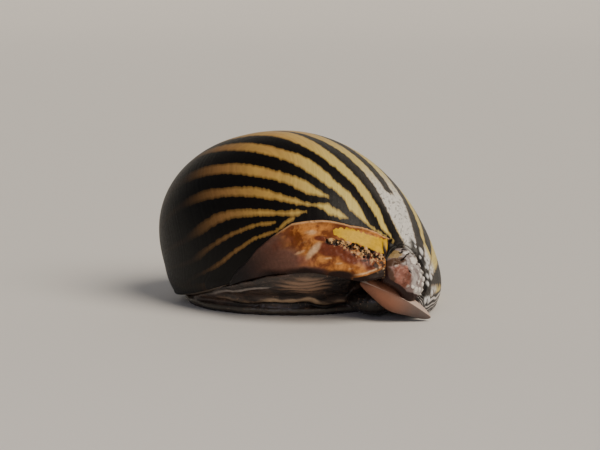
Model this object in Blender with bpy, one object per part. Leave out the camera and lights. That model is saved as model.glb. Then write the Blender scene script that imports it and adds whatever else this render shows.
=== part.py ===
"""Nerite snail, life size, crawling with its shell over its body.

The script works in millimetres and turns them into metres when a mesh is made. Two frames are used:
the world frame, with the head towards +Y and the floor at Z = 0, and the shell frame, whose X runs
along the coil axis to the apex, whose Y points away from the callus and whose Z is up.
"""
import math

import bmesh
import bpy
import numpy as np

MM = 0.001
GAP = 0.3

# Reach of the cutting blocks, well outside the animal
FAR_UP = 20.0
FAR_DOWN = -8.0
RIM_GRID_X = (-26.0, 6.0, 33)
RIM_GRID_Y = (-9.0, 25.0, 31)

# Middle of the whole animal's box in the world frame, which becomes the origin
MIDDLE = (-9.574, 10.536)

# Shell: two poles on the coil axis and the bulge between them on each side
SHELL_YAW = math.radians(-28.0)
AXIS_LENGTH = 23.0
POLE_HEIGHT = 2.9
BULGE_FRONT = 12.3
BULGE_TOP = 11.05
BULGE_REAR = 6.7
BULGE_UNDER = 3.0
SECTION_POWER = 2.2
APEX_POWER = 2.17
BASE_POWER = 2.22
APEX_WEIGHT = 0.44
TOP_LEAN = 0.36
FRONT_LEAN = 0.04
SIDE_EASE = 0.12

# Below the axis the two ends hang lower than the middle: how much they swell down and lean forward
NOSE_SWELL = 0.8
NOSE_LEAN = 0.4
NOSE_X = (-8.0, -1.2)
BASE_SWELL = 1.5
BASE_LEAN = 0.45
BASE_X = (-21.8, -15.0)
HANG_EASE = 0.25

# Rim: the edge of the aperture, high behind and low in front, with an arch over the head
RIM_FRONT = 0.5
RIM_NOSE = 0.15
RIM_NOSE_X = (-4.0, -0.5)
RIM_REAR = 4.4
RIM_REAR_Y = (-3.8, 1.3)
RIM_BASE_X = (-23.5, -5.5)
HEAD_ARCH = 1.9
HEAD_ARCH_HALF_WIDTH = 3.4
HEAD_ARCH_Y = (12.0, 15.0)
LIP_THICKNESS = 1.2
RECESS_DEPTH = 2.2

# Callus: from the arched seam over the rear down to the rim, given as turn angle along the axis
SEAM_ALONG = (0.08, 0.12, 0.21, 0.28, 0.36, 0.42, 0.46, 0.52, 0.60)
SEAM_TURN = (109.0, 121.0, 131.0, 135.0, 141.0, 150.0, 157.0, 172.0, 200.0)
CALLUS_ALONG = (0.09, 0.58)
CALLUS_END_TURN = 228.0
CALLUS_DEPTH = 0.70
CALLUS_ROOM_REACH = 1.6

# Spire: the low worn coil at the apex
SPIRE_TURN = 132.0
SPIRE_ALONG = 0.037
SPIRE_RADIUS = 2.25
SPIRE_RISE = 0.55
SPIRE_EDGE_DROP = 0.7
SPIRE_DEPTH = 1.6
SPIRE_GROWTH = 2.6
SPIRE_WHORL_RELIEF = 0.22
SPIRE_WHORL_ROUNDNESS = 0.7
SPIRE_WHORL_MEAN = 0.6
SPIRE_UNDER_RINGS = (0.5, 0.88)
SPIRE_RINGS = (1.0, 0.9, 0.78, 0.66, 0.54, 0.42, 0.31, 0.21, 0.12)
SPIRE_POCKET_TAPER = 0.1
SPIRE_POCKET_REACH = 4.0

# Operculum: a leaf from under the spire down to the floor, in the shell frame
OPERCULUM_HIGH = (-3.7, -3.2, 3.2)
OPERCULUM_LOW = (0.75, 0.3, 0.45)
OPERCULUM_WIDTH = 2.2
OPERCULUM_LOWER_SHARE = 0.7
OPERCULUM_SIDE = (-0.10, -0.60, -0.79)
OPERCULUM_THICKNESS = 0.6
OPERCULUM_DOMING = 0.35
OPERCULUM_POINT = 0.25
OPERCULUM_EDGE = 0.3
OPERCULUM_RINGS = ((0.5, 0.75), (0.9, 0.2))

# Foot: a round sole, drawn out backwards above the floor to fill the aperture
FOOT_CENTRE = (-10.3, 9.1)
FOOT_HALF = (8.6, 7.3)
FOOT_RISE = 0.9
# height, spread of the outline and how far its rear leans back at each level of the foot
FOOT_LEVELS = (
    (0.0, -0.35, 0.0), (0.12, 0.0, 0.0), (0.4, 0.15, 0.0), (0.9, -0.25, 0.2),
    (1.7, -0.3, 1.1), (2.6, 0.0, 2.3), (3.6, 0.3, 3.4), (6.4, 0.4, 5.2),
)
LOBE_CENTRE = (-3.7, 2.3, 1.3)
LOBE_HALF = (2.1, 2.1, 1.15)

# Head, in the world frame, around the animal's midline
HEAD_X = -9.6
HEAD_CENTRE_Y = 16.7
HEAD_HEIGHT = 1.2
HEAD_HALF = (2.5, 2.6, 0.95)
SNOUT_CENTRE_Y = 19.5
SNOUT_HEIGHT = 0.85
SNOUT_HALF = (1.9, 1.3, 0.65)
HEAD_SQUARENESS = 2.4
SNOUT_SQUARENESS = 2.8
MOUTH_HALF = (0.8, 0.5, 0.09)
MOUTH_DROP = 0.22
TENTACLE_LENGTH = 6.6
TENTACLE_RADII = (0.46, 0.16)
TENTACLE_TAPER = 1.4
TENTACLE_ROOT = (1.75, 1.75, 0.45)
TENTACLE_SPREAD = 3.1
TENTACLE_BOW = 0.5
TENTACLE_AHEAD = 0.86
TENTACLE_LIFT = 0.75
TENTACLE_LIFT_TURN = 2.4
TENTACLE_DROOP = 0.1
STALK_ROOT = (2.5, 0.55, 0.5)
STALK_REACH = (0.75, 0.25, 0.55)
STALK_RADII = (0.5, 0.5, 0.45)
EYE_RADIUS = 0.36
EYE_LEAD = 0.42

SHELL_COLOUR = (0.30, 0.20, 0.06)
CALLUS_COLOUR = (0.28, 0.13, 0.06)
SPIRE_COLOUR = (0.45, 0.38, 0.33)
OPERCULUM_COLOUR = (0.36, 0.22, 0.17)
FLESH_COLOUR = (0.07, 0.05, 0.04)
EYE_COLOUR = (0.01, 0.01, 0.012)


def smoothstep(low, high, value):
    """Ease from 0 at low to 1 at high, for low below high."""
    part = np.clip((value - low) / (high - low), 0.0, 1.0)
    return part * part * (3.0 - 2.0 * part)


def turned(points, angle):
    """Turn points about Z."""
    cosine, sine = math.cos(angle), math.sin(angle)
    x, y, z = points[..., 0], points[..., 1], points[..., 2]
    return np.stack([x * cosine - y * sine, x * sine + y * cosine, z], -1)


def to_world(points):
    """Shell frame to world frame."""
    return turned(np.asarray(points, float), SHELL_YAW)


def to_shell(points):
    """World frame to shell frame."""
    return turned(np.asarray(points, float), -SHELL_YAW)


def eased(value, ease):
    """The positive part of a value, rounded where it starts so that no crease shows."""
    return 0.5 * (value + np.sqrt(value ** 2 + ease ** 2))


def hung(points):
    """Let the shell hang lower and lean forward at its two ends, below the axis."""
    x, y, z = points[..., 0], points[..., 1], points[..., 2]
    depth = eased(POLE_HEIGHT - z, HANG_EASE)
    nose, base = smoothstep(*NOSE_X, x), 1.0 - smoothstep(*BASE_X, x)
    ahead = depth * (NOSE_LEAN * nose + BASE_LEAN * base)
    return np.stack([x + ahead, y, z - depth * (NOSE_SWELL * nose + BASE_SWELL * base)], -1)


def bulge(turn, inset):
    """Distance of the shell's widest meridian point from the axis at a turn angle in radians."""
    cosine, sine = np.cos(turn), np.sin(turn)
    level = np.where(cosine > 0.0, BULGE_FRONT, BULGE_REAR) - inset
    upright = np.where(sine > 0.0, BULGE_TOP, BULGE_UNDER) - min(inset, 0.5 * BULGE_UNDER)
    total = (np.abs(cosine) / level) ** SECTION_POWER + (np.abs(sine) / upright) ** SECTION_POWER
    return total ** (-1.0 / SECTION_POWER)


def shell_point(turn, along, inset=0.0, reach=1.0):
    """Point of the shell: turn in radians round the axis, along from 0 at the apex to 1 at the base."""
    turn, along = np.broadcast_arrays(np.asarray(turn, float), np.asarray(along, float))
    arc = along * math.pi
    power = np.where(np.cos(arc) > 0.0, 2.0 / APEX_POWER, 2.0 / BASE_POWER)
    axial = 0.5 - 0.5 * np.sign(np.cos(arc)) * np.abs(np.cos(arc)) ** power
    radial = np.abs(np.sin(arc)) ** power * (1.0 - APEX_WEIGHT * (axial - 0.5))
    radius = bulge(turn, inset) * radial * reach
    lean = TOP_LEAN * eased(np.sin(turn), SIDE_EASE) + FRONT_LEAN * eased(np.cos(turn), SIDE_EASE)
    x = -inset - (AXIS_LENGTH - 2.0 * inset) * axial - lean * radius
    return hung(np.stack([x, radius * np.cos(turn), POLE_HEIGHT + radius * np.sin(turn)], -1))


def shell_normal(turn, along):
    """Outward unit normal of the shell at one place."""
    step = 1e-3
    by_turn = shell_point(turn + step, along) - shell_point(turn - step, along)
    by_along = shell_point(turn, along + step) - shell_point(turn, along - step)
    normal = np.cross(by_turn, by_along)
    normal /= np.linalg.norm(normal)
    outward = shell_point(turn, along) - shell_point(turn, along, reach=0.5)
    return normal if normal @ outward > 0.0 else -normal


def seam_turn(along):
    """Turn angle of the seam between the body whorl and the callus, in radians."""
    return np.radians(np.interp(along, SEAM_ALONG, SEAM_TURN))


def rim_height(x, y):
    """Height of the aperture's rim over the floor at a place in the world frame."""
    place = to_shell(np.stack([x, y, np.zeros_like(x)], -1))
    rear = 1.0 - smoothstep(*RIM_REAR_Y, place[..., 1])
    from_base = smoothstep(*RIM_BASE_X, place[..., 0])
    arch = np.exp(-((x - HEAD_X) / HEAD_ARCH_HALF_WIDTH) ** 4) * smoothstep(*HEAD_ARCH_Y, y)
    front = RIM_FRONT + (RIM_NOSE - RIM_FRONT) * smoothstep(*RIM_NOSE_X, place[..., 0])
    return front + (RIM_REAR - front) * rear * from_base + HEAD_ARCH * arch


def material(name, colour, roughness):
    """A plain Principled material."""
    made = bpy.data.materials.new(name)
    made.use_nodes = True
    shader = made.node_tree.nodes["Principled BSDF"]
    shader.inputs["Base Color"].default_value = (*colour, 1.0)
    shader.inputs["Roughness"].default_value = roughness
    made.diffuse_color = (*colour, 1.0)
    return made


def mesh_object(name, points, faces):
    """An object from world-frame points in millimetres, with its faces turned outward."""
    shift = np.array([MIDDLE[0], MIDDLE[1], 0.0])
    vertices = (np.asarray(points, float) - shift) * MM
    mesh = bpy.data.meshes.new(name)
    mesh.from_pydata(vertices.tolist(), [], faces)
    work = bmesh.new()
    work.from_mesh(mesh)
    bmesh.ops.recalc_face_normals(work, faces=work.faces)
    work.to_mesh(mesh)
    work.free()
    made = bpy.data.objects.new(name, mesh)
    bpy.context.scene.collection.objects.link(made)
    return made


def lofted(name, rings, low, high):
    """A closed solid through rings of equal length, ending in the points low and high."""
    rings = np.asarray(rings, float)
    count, size = rings.shape[:2]
    points = np.vstack([rings.reshape(-1, 3), [low], [high]])
    faces = []
    for i in range(size):
        j = (i + 1) % size
        faces.append((count * size, j, i))
        faces.append((count * size + 1, (count - 1) * size + i, (count - 1) * size + j))
        for ring in range(count - 1):
            here, above = ring * size, (ring + 1) * size
            faces.append((here + i, here + j, above + j, above + i))
    return mesh_object(name, points, faces)


def block(name, inner, outer):
    """A closed solid between two grids of the same size, joined round their borders."""
    inner, outer = np.asarray(inner, float), np.asarray(outer, float)
    rows, columns = inner.shape[:2]
    points = np.vstack([inner.reshape(-1, 3), outer.reshape(-1, 3)])
    half = rows * columns
    faces = []
    for i in range(rows - 1):
        for j in range(columns - 1):
            a, b = i * columns + j, (i + 1) * columns + j
            faces.append((a, a + 1, b + 1, b))
            faces.append((half + a, half + b, half + b + 1, half + a + 1))
    border = [j for j in range(columns)]
    border += [i * columns + columns - 1 for i in range(1, rows)]
    border += [(rows - 1) * columns + j for j in range(columns - 2, -1, -1)]
    border += [i * columns for i in range(rows - 2, 0, -1)]
    for a, b in zip(border, border[1:] + border[:1]):
        faces.append((b, a, half + a, half + b))
    return mesh_object(name, points, faces)


def ellipsoid(name, centre, half, power=2.0, rows=10, columns=20):
    """A superellipsoid in the world frame, squarer in plan for a power over 2."""
    rings = []
    for row in range(1, rows):
        rise = -math.pi / 2.0 + math.pi * row / rows
        ring = []
        for column in range(columns):
            angle = 2.0 * math.pi * column / columns
            cosine, sine = math.cos(angle), math.sin(angle)
            size = (abs(cosine) ** power + abs(sine) ** power) ** (-1.0 / power) * math.cos(rise)
            ring.append((centre[0] + half[0] * size * cosine, centre[1] + half[1] * size * sine,
                         centre[2] + half[2] * math.sin(rise)))
        rings.append(ring)
    low = (centre[0], centre[1], centre[2] - half[2])
    high = (centre[0], centre[1], centre[2] + half[2])
    return lofted(name, rings, low, high)


def tube(name, path, radii, sides=12):
    """A round tube along a path, with a rounded point at its end."""
    path = np.asarray(path, float)
    along = np.gradient(path, axis=0)
    along /= np.linalg.norm(along, axis=1, keepdims=True)
    side = np.cross(along, (0.0, 0.0, 1.0))
    side /= np.linalg.norm(side, axis=1, keepdims=True)
    up = np.cross(side, along)
    angles = np.linspace(0.0, 2.0 * math.pi, sides, endpoint=False)
    rings = [centre + radius * (np.outer(np.cos(angles), s) + np.outer(np.sin(angles), u))
             for centre, radius, s, u in zip(path, radii, side, up)]
    return lofted(name, rings, path[0] - along[0] * radii[0] * 0.5, path[-1] + along[-1] * radii[-1])


def boolean(target, other, operation, keep_other=False):
    """Combine two objects now and remove the second one.

    The exact solver drops whole bodies where these curved cutters cross, so the manifold one is used.
    """
    change = target.modifiers.new(operation, "BOOLEAN")
    change.object = other
    change.operation = operation
    change.solver = "MANIFOLD"
    graph = bpy.context.evaluated_depsgraph_get()
    mesh = bpy.data.meshes.new_from_object(target.evaluated_get(graph))
    target.modifiers.clear()
    target.data = mesh
    if not keep_other:
        bpy.data.objects.remove(other)
    return target


def largest_body(target):
    """Keep only the body with the most surface."""
    work = bmesh.new()
    work.from_mesh(target.data)
    bodies, seen = [], set()
    for start in work.faces:
        if start in seen:
            continue
        seen.add(start)
        stack, body = [start], []
        while stack:
            face = stack.pop()
            body.append(face)
            for edge in face.edges:
                for other in edge.link_faces:
                    if other not in seen:
                        seen.add(other)
                        stack.append(other)
        bodies.append(body)
    bodies.sort(key=lambda body: sum(face.calc_area() for face in body))
    for body in bodies[:-1]:
        bmesh.ops.delete(work, geom=body, context="FACES")
    loose = [vertex for vertex in work.verts if not vertex.link_faces]
    bmesh.ops.delete(work, geom=loose, context="VERTS")
    work.to_mesh(target.data)
    work.free()
    return target


def finish(target, look):
    """Give a node its material and smooth shading."""
    target.data.materials.clear()
    target.data.materials.append(look)
    target.data.shade_smooth()
    target.data.set_sharp_from_angle(angle=math.radians(35.0))
    return target


def dome(name, inset=0.0, columns=60, rows=30):
    """The shell's whole outer form as a closed solid."""
    turns = np.linspace(0.0, 2.0 * math.pi, columns, endpoint=False)
    stations = np.linspace(0.0, 1.0, rows + 1)[1:-1]
    rings = [to_world(shell_point(turns, along, inset)) for along in stations]
    apex = to_world(shell_point(0.0, 0.0, inset))
    base = to_world(shell_point(0.0, 1.0, inset))
    return lofted(name, rings, apex, base)


def rim_block(name, offset, far):
    """Everything between the rim surface, moved up by offset, and the level far."""
    xs, ys = np.meshgrid(np.linspace(*RIM_GRID_X), np.linspace(*RIM_GRID_Y), indexing="ij")
    near = np.stack([xs, ys, rim_height(xs, ys) + offset], -1)
    level = np.stack([xs, ys, np.full_like(xs, far)], -1)
    return block(name, near, level)


def callus_slab(name, margin):
    """The part of the shell behind the seam, grown by margin on its inner sides and its ends."""
    low, high = CALLUS_ALONG
    spread = margin / AXIS_LENGTH
    along = np.linspace(low - spread, high + spread, 30)[None, :]
    part = np.linspace(0.0, 1.0, 15)[:, None]
    on_axis = shell_point(0.0, along, reach=0.0)
    radius = np.linalg.norm(shell_point(seam_turn(along), along) - on_axis, axis=-1)
    start = seam_turn(along) - margin / radius
    end = math.radians(CALLUS_END_TURN) + margin / radius
    turn = start + (end - start) * part
    depth = CALLUS_DEPTH - margin / BULGE_REAR
    reach = CALLUS_ROOM_REACH if margin else 1.0
    inner = to_world(shell_point(turn, along + 0.0 * turn, reach=depth))
    outer = to_world(shell_point(turn, along + 0.0 * turn, reach=reach))
    return block(name, inner, outer)


def spire_frame():
    """Middle, outward axis and two side directions of the spire in the shell frame."""
    turn = math.radians(SPIRE_TURN)
    centre = shell_point(turn, SPIRE_ALONG)
    axis = shell_normal(turn, SPIRE_ALONG)
    side = np.cross((0.0, 0.0, 1.0), axis)
    side /= np.linalg.norm(side)
    return centre, axis, side, np.cross(axis, side)


def spire(name, margin):
    """The worn coil, or with a margin the pocket that it sits in."""
    centre, axis, side, up = spire_frame()
    angles = np.linspace(0.0, 2.0 * math.pi, 36, endpoint=False)
    radius = SPIRE_RADIUS + margin

    def ring(share, height):
        flat = np.outer(np.cos(angles), side) + np.outer(np.sin(angles), up)
        return centre + share * radius * flat + np.reshape(height, (-1, 1)) * axis

    if margin:
        taper, reach = SPIRE_POCKET_TAPER, SPIRE_POCKET_REACH
        levels = ((1.0 - taper, -SPIRE_DEPTH - margin), (1.0, 0.0), (1.0 + taper, reach))
        rings = [ring(share, height) for share, height in levels]
        low, high = centre - axis * (SPIRE_DEPTH + margin), centre + axis * reach
        return lofted(name, to_world(rings), to_world(low), to_world(high))
    rings = [ring(share, -SPIRE_DEPTH) for share in SPIRE_UNDER_RINGS]
    for share in SPIRE_RINGS:
        phase = math.log(share) / math.log(SPIRE_GROWTH) + angles / (2.0 * math.pi)
        whorl = np.abs(np.sin(math.pi * phase)) ** SPIRE_WHORL_ROUNDNESS - SPIRE_WHORL_MEAN
        dome_height = SPIRE_RISE * (1.0 - share * share) - SPIRE_EDGE_DROP * share * share
        rings.append(ring(share, dome_height + SPIRE_WHORL_RELIEF * whorl * (1.0 - share ** 4)))
    low, high = centre - axis * SPIRE_DEPTH, centre + axis * SPIRE_RISE
    return lofted(name, to_world(rings), to_world(low), to_world(high))


def operculum(name):
    """The leaf-shaped lid, slightly domed towards the outside."""
    high, low = np.array(OPERCULUM_HIGH), np.array(OPERCULUM_LOW)
    along = low - high
    length = np.linalg.norm(along)
    along /= length
    side = np.array(OPERCULUM_SIDE)
    side -= (side @ along) * along
    side /= np.linalg.norm(side)
    outward = np.cross(side, along)
    middle = 0.5 * (high + low)
    angles = np.linspace(0.0, 2.0 * math.pi, 40, endpoint=False)
    long_part = np.cos(angles)
    lower = np.sin(angles) > 0.0
    wide_part = np.sin(angles) * np.where(lower, OPERCULUM_LOWER_SHARE, 1.0)
    wide_part = wide_part * (1.0 - OPERCULUM_POINT * long_part ** 2)

    def ring(share, height):
        flat = np.outer(long_part * 0.5 * length, along) + np.outer(wide_part * 0.5 * OPERCULUM_WIDTH, side)
        return middle + share * flat + outward * height

    half = 0.5 * OPERCULUM_THICKNESS
    rings = [ring(share, OPERCULUM_DOMING * rise - half) for share, rise in OPERCULUM_RINGS]
    rings += [ring(1.0, -OPERCULUM_EDGE * half), ring(1.0, OPERCULUM_EDGE * half)]
    rings += [ring(share, OPERCULUM_DOMING * rise + half) for share, rise in reversed(OPERCULUM_RINGS)]
    low_end = middle + outward * (OPERCULUM_DOMING - half)
    high_end = middle + outward * (OPERCULUM_DOMING + half)
    return lofted(name, to_world(rings), to_world(low_end), to_world(high_end))


def grown_copy(source, name, amount):
    """A copy pushed out along its normals, for cutting clearance."""
    mesh = source.data.copy()
    made = bpy.data.objects.new(name, mesh)
    bpy.context.scene.collection.objects.link(made)
    moved = [vertex.co + vertex.normal * amount * MM for vertex in mesh.vertices]
    for vertex, place in zip(mesh.vertices, moved):
        vertex.co = place
    return made


def under_shell(flesh):
    """Cut a soft piece to the room under the rim and inside the recess."""
    lip = rim_block("lip_cutter", -GAP, FAR_UP)
    boolean(lip, dome("room", LIP_THICKNESS + GAP), "DIFFERENCE")
    boolean(flesh, lip, "DIFFERENCE")
    boolean(flesh, rim_block("ceiling_cutter", FOOT_RISE, FAR_UP), "DIFFERENCE")
    return flesh


def foot(name):
    """The sole on the floor and the flesh over it, which leans back to the callus."""
    angles = np.linspace(0.0, 2.0 * math.pi, 56, endpoint=False)
    rings = []
    for height, spread, back in FOOT_LEVELS:
        x = FOOT_CENTRE[0] + (FOOT_HALF[0] + spread) * np.cos(angles)
        y = FOOT_CENTRE[1] + (FOOT_HALF[1] + spread) * np.sin(angles)
        y -= back * np.maximum(-np.sin(angles), 0.0)
        rings.append(np.stack([x, y, np.full_like(x, height)], -1))
    top = FOOT_LEVELS[-1][0]
    return lofted(name, rings, (*FOOT_CENTRE, 0.0), (*FOOT_CENTRE, top))


def tentacle_path(mirror):
    """Middle line of one feeler, forward, outward and a little down at the tip."""
    share = np.linspace(0.0, 1.0, 15)
    side, ahead, up = TENTACLE_ROOT
    x = HEAD_X + mirror * (side + TENTACLE_SPREAD * share + TENTACLE_BOW * np.sin(math.pi * share))
    y = HEAD_CENTRE_Y + ahead + TENTACLE_AHEAD * TENTACLE_LENGTH * share
    z = HEAD_HEIGHT + up + TENTACLE_LIFT * np.sin(TENTACLE_LIFT_TURN * share) - TENTACLE_DROOP * share
    return np.stack([x, y, z], -1)


def head_parts(flesh_look, eye_look):
    """Head, snout, feelers, eye stalks and eyes."""
    head = ellipsoid("head", (HEAD_X, HEAD_CENTRE_Y, HEAD_HEIGHT), HEAD_HALF, HEAD_SQUARENESS)
    snout = ellipsoid("snout", (HEAD_X, SNOUT_CENTRE_Y, SNOUT_HEIGHT), SNOUT_HALF, SNOUT_SQUARENESS)
    boolean(snout, grown_copy(head, "head_room", GAP), "DIFFERENCE")
    mouth_centre = (HEAD_X, SNOUT_CENTRE_Y + SNOUT_HALF[1], SNOUT_HEIGHT - MOUTH_DROP)
    mouth = ellipsoid("mouth", mouth_centre, MOUTH_HALF)
    boolean(snout, mouth, "DIFFERENCE")
    finish(largest_body(snout), flesh_look)
    sides = (("left", -1.0), ("right", 1.0))
    for side, mirror in sides:
        path = tentacle_path(mirror)
        share = np.linspace(0.0, 1.0, len(path))
        root_radius, tip_radius = TENTACLE_RADII
        radii = root_radius + (tip_radius - root_radius) * share ** TENTACLE_TAPER
        feeler = tube("tentacle_" + side, path, radii)
        boolean(feeler, grown_copy(head, "head_room", GAP), "DIFFERENCE")
        base = np.array((HEAD_X, HEAD_CENTRE_Y, HEAD_HEIGHT)) + np.array(STALK_ROOT) * (mirror, 1.0, 1.0)
        reach = np.array(STALK_REACH) * (mirror, 1.0, 1.0)
        stalk_path = [base + reach * part for part in (0.0, 0.5, 1.0)]
        stalk = tube("eye_stalk_" + side, stalk_path, STALK_RADII)
        boolean(stalk, grown_copy(head, "head_room", GAP), "DIFFERENCE")
        eye_centre = base + reach + reach / np.linalg.norm(reach) * EYE_LEAD
        boolean(stalk, ellipsoid("eye_room", eye_centre, (EYE_RADIUS + GAP * 0.5,) * 3), "DIFFERENCE")
        eye = ellipsoid("eye_" + side, eye_centre, (EYE_RADIUS,) * 3)
        finish(largest_body(feeler), flesh_look)
        finish(largest_body(stalk), flesh_look)
        finish(eye, eye_look)
    finish(head, flesh_look)
    return head


def main():
    for old in list(bpy.data.objects):
        bpy.data.objects.remove(old)

    shell_look = material("striped_shell", SHELL_COLOUR, 0.3)
    callus_look = material("worn_callus", CALLUS_COLOUR, 0.4)
    spire_look = material("worn_spire", SPIRE_COLOUR, 0.6)
    lid_look = material("horny_lid", OPERCULUM_COLOUR, 0.35)
    flesh_look = material("wet_flesh", FLESH_COLOUR, 0.3)
    eye_look = material("eye_black", EYE_COLOUR, 0.1)

    recess = dome("recess", LIP_THICKNESS)
    boolean(recess, rim_block("recess_ceiling", RECESS_DEPTH, FAR_UP), "DIFFERENCE")

    lid = operculum("operculum")

    whorl = dome("shell_body_whorl")
    boolean(whorl, rim_block("rim_cutter", 0.0, FAR_DOWN), "DIFFERENCE")
    boolean(whorl, callus_slab("callus_room", GAP), "DIFFERENCE")
    boolean(whorl, spire("spire_room", GAP), "DIFFERENCE")
    boolean(whorl, recess, "DIFFERENCE", keep_other=True)
    boolean(whorl, grown_copy(lid, "lid_room", GAP), "DIFFERENCE")
    finish(largest_body(whorl), shell_look)

    callus = callus_slab("shell_callus", 0.0)
    boolean(callus, spire("spire_room", GAP), "DIFFERENCE")
    boolean(callus, rim_block("rim_cutter", 0.0, FAR_DOWN), "DIFFERENCE")
    boolean(callus, recess, "DIFFERENCE", keep_other=True)
    boolean(callus, grown_copy(lid, "lid_room", GAP), "DIFFERENCE")
    finish(largest_body(callus), callus_look)

    coil = spire("shell_spire", 0.0)
    boolean(coil, rim_block("rim_cutter", 0.0, FAR_DOWN), "DIFFERENCE")
    boolean(coil, recess, "DIFFERENCE")
    boolean(coil, grown_copy(lid, "lid_room", GAP), "DIFFERENCE")
    finish(largest_body(coil), spire_look)

    mantle = dome("mantle", LIP_THICKNESS + GAP)
    boolean(mantle, rim_block("mantle_top", RECESS_DEPTH - GAP, FAR_UP), "DIFFERENCE")
    boolean(mantle, rim_block("mantle_bottom", FOOT_RISE + GAP, FAR_DOWN), "DIFFERENCE")
    finish(largest_body(mantle), flesh_look)

    head = head_parts(flesh_look, eye_look)

    sole = under_shell(foot("foot"))
    boolean(sole, grown_copy(head, "head_room", GAP), "DIFFERENCE")
    boolean(sole, grown_copy(lid, "lid_room", GAP), "DIFFERENCE")
    lobe = ellipsoid("opercular_lobe", LOBE_CENTRE, LOBE_HALF)
    boolean(sole, grown_copy(lobe, "lobe_room", GAP), "DIFFERENCE")
    under_shell(lobe)
    boolean(lobe, grown_copy(lid, "lid_room", GAP), "DIFFERENCE")
    finish(largest_body(sole), flesh_look)
    finish(largest_body(lobe), flesh_look)
    finish(lid, lid_look)


main()
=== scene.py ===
"""Looks of a life-size zebra nerite, built round the fixed CAD frame.

Lengths in this script are millimetres in the animal's own frame, with the head towards +Y and the
floor at Z = 0, and they become metres in the frame's place when a mesh is made. The shell frame
has its X along the coil axis to the apex, Y away from the callus and Z up.
"""

import logging
import math
from dataclasses import dataclass, field
from enum import Enum
from typing import Any, Callable

import bpy
import numpy as np
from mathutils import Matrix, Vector


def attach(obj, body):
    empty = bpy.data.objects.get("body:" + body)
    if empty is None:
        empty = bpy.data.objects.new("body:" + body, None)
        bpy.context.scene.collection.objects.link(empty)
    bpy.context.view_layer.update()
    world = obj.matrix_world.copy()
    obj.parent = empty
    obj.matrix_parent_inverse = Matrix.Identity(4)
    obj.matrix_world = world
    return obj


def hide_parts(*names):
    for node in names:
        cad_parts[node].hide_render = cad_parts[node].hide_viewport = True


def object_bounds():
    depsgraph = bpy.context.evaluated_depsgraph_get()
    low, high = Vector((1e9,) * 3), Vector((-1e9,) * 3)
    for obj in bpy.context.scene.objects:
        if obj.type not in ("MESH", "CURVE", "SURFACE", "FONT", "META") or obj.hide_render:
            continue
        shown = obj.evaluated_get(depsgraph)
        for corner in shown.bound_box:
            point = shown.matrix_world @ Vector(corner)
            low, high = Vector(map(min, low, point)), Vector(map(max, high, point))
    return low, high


Array = np.ndarray
Values = dict[str, Array]
Inputs = dict[Any, Any]
Pair = tuple[float, float]
Triple = tuple[float, float, float]
Line = tuple[Pair, ...]
Object = bpy.types.Object

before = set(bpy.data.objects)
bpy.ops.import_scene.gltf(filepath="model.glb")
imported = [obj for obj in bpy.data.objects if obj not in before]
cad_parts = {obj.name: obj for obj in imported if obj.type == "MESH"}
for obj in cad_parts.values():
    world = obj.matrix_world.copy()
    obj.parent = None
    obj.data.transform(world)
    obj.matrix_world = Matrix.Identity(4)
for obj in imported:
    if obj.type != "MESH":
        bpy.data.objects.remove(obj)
CAD_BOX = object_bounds()

LOG = logging.getLogger("nerite")
MM = 0.001
# Settings that many range nodes share
SMOOTH = {"interpolation_type": "SMOOTHSTEP"}
GRAIN_SPAN = {"From Min": 0.3, "From Max": 0.7}
# Depth below the CAD box's faces in which a dressed surface is eased back
BOX_EASE = 0.10

# Middle of the whole animal's box, which is the frame's origin
MIDDLE = np.array([-9.574, 10.536, 0.0])
SHELL_YAW = math.radians(-28.0)
# A point well inside the shell, in the shell frame
HEART = (-10.5, 2.0, 3.6)


class Slot(Enum):
    """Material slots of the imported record."""

    SHELL = "striped_shell"
    CALLUS = "worn_callus"
    SPIRE = "worn_spire"
    LID = "horny_lid"
    FLESH = "wet_flesh"
    EYE = "eye_black"


class Flank(Enum):
    """The two sides of the head, as the sign of their X from the midline."""

    LEFT = -1.0
    RIGHT = 1.0


def linear(colour: str) -> tuple[float, float, float, float]:
    """Turn an sRGB hex colour to linear.

    Args:
        colour: The colour as "#rrggbb".

    Returns:
        Linear red, green and blue with an alpha of one.
    """
    parts = [int(colour[place:place + 2], 16) / 255.0 for place in (1, 3, 5)]
    made = [part / 12.92 if part <= 0.04045 else ((part + 0.055) / 1.055) ** 2.4 for part in parts]
    return (made[0], made[1], made[2], 1.0)


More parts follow.
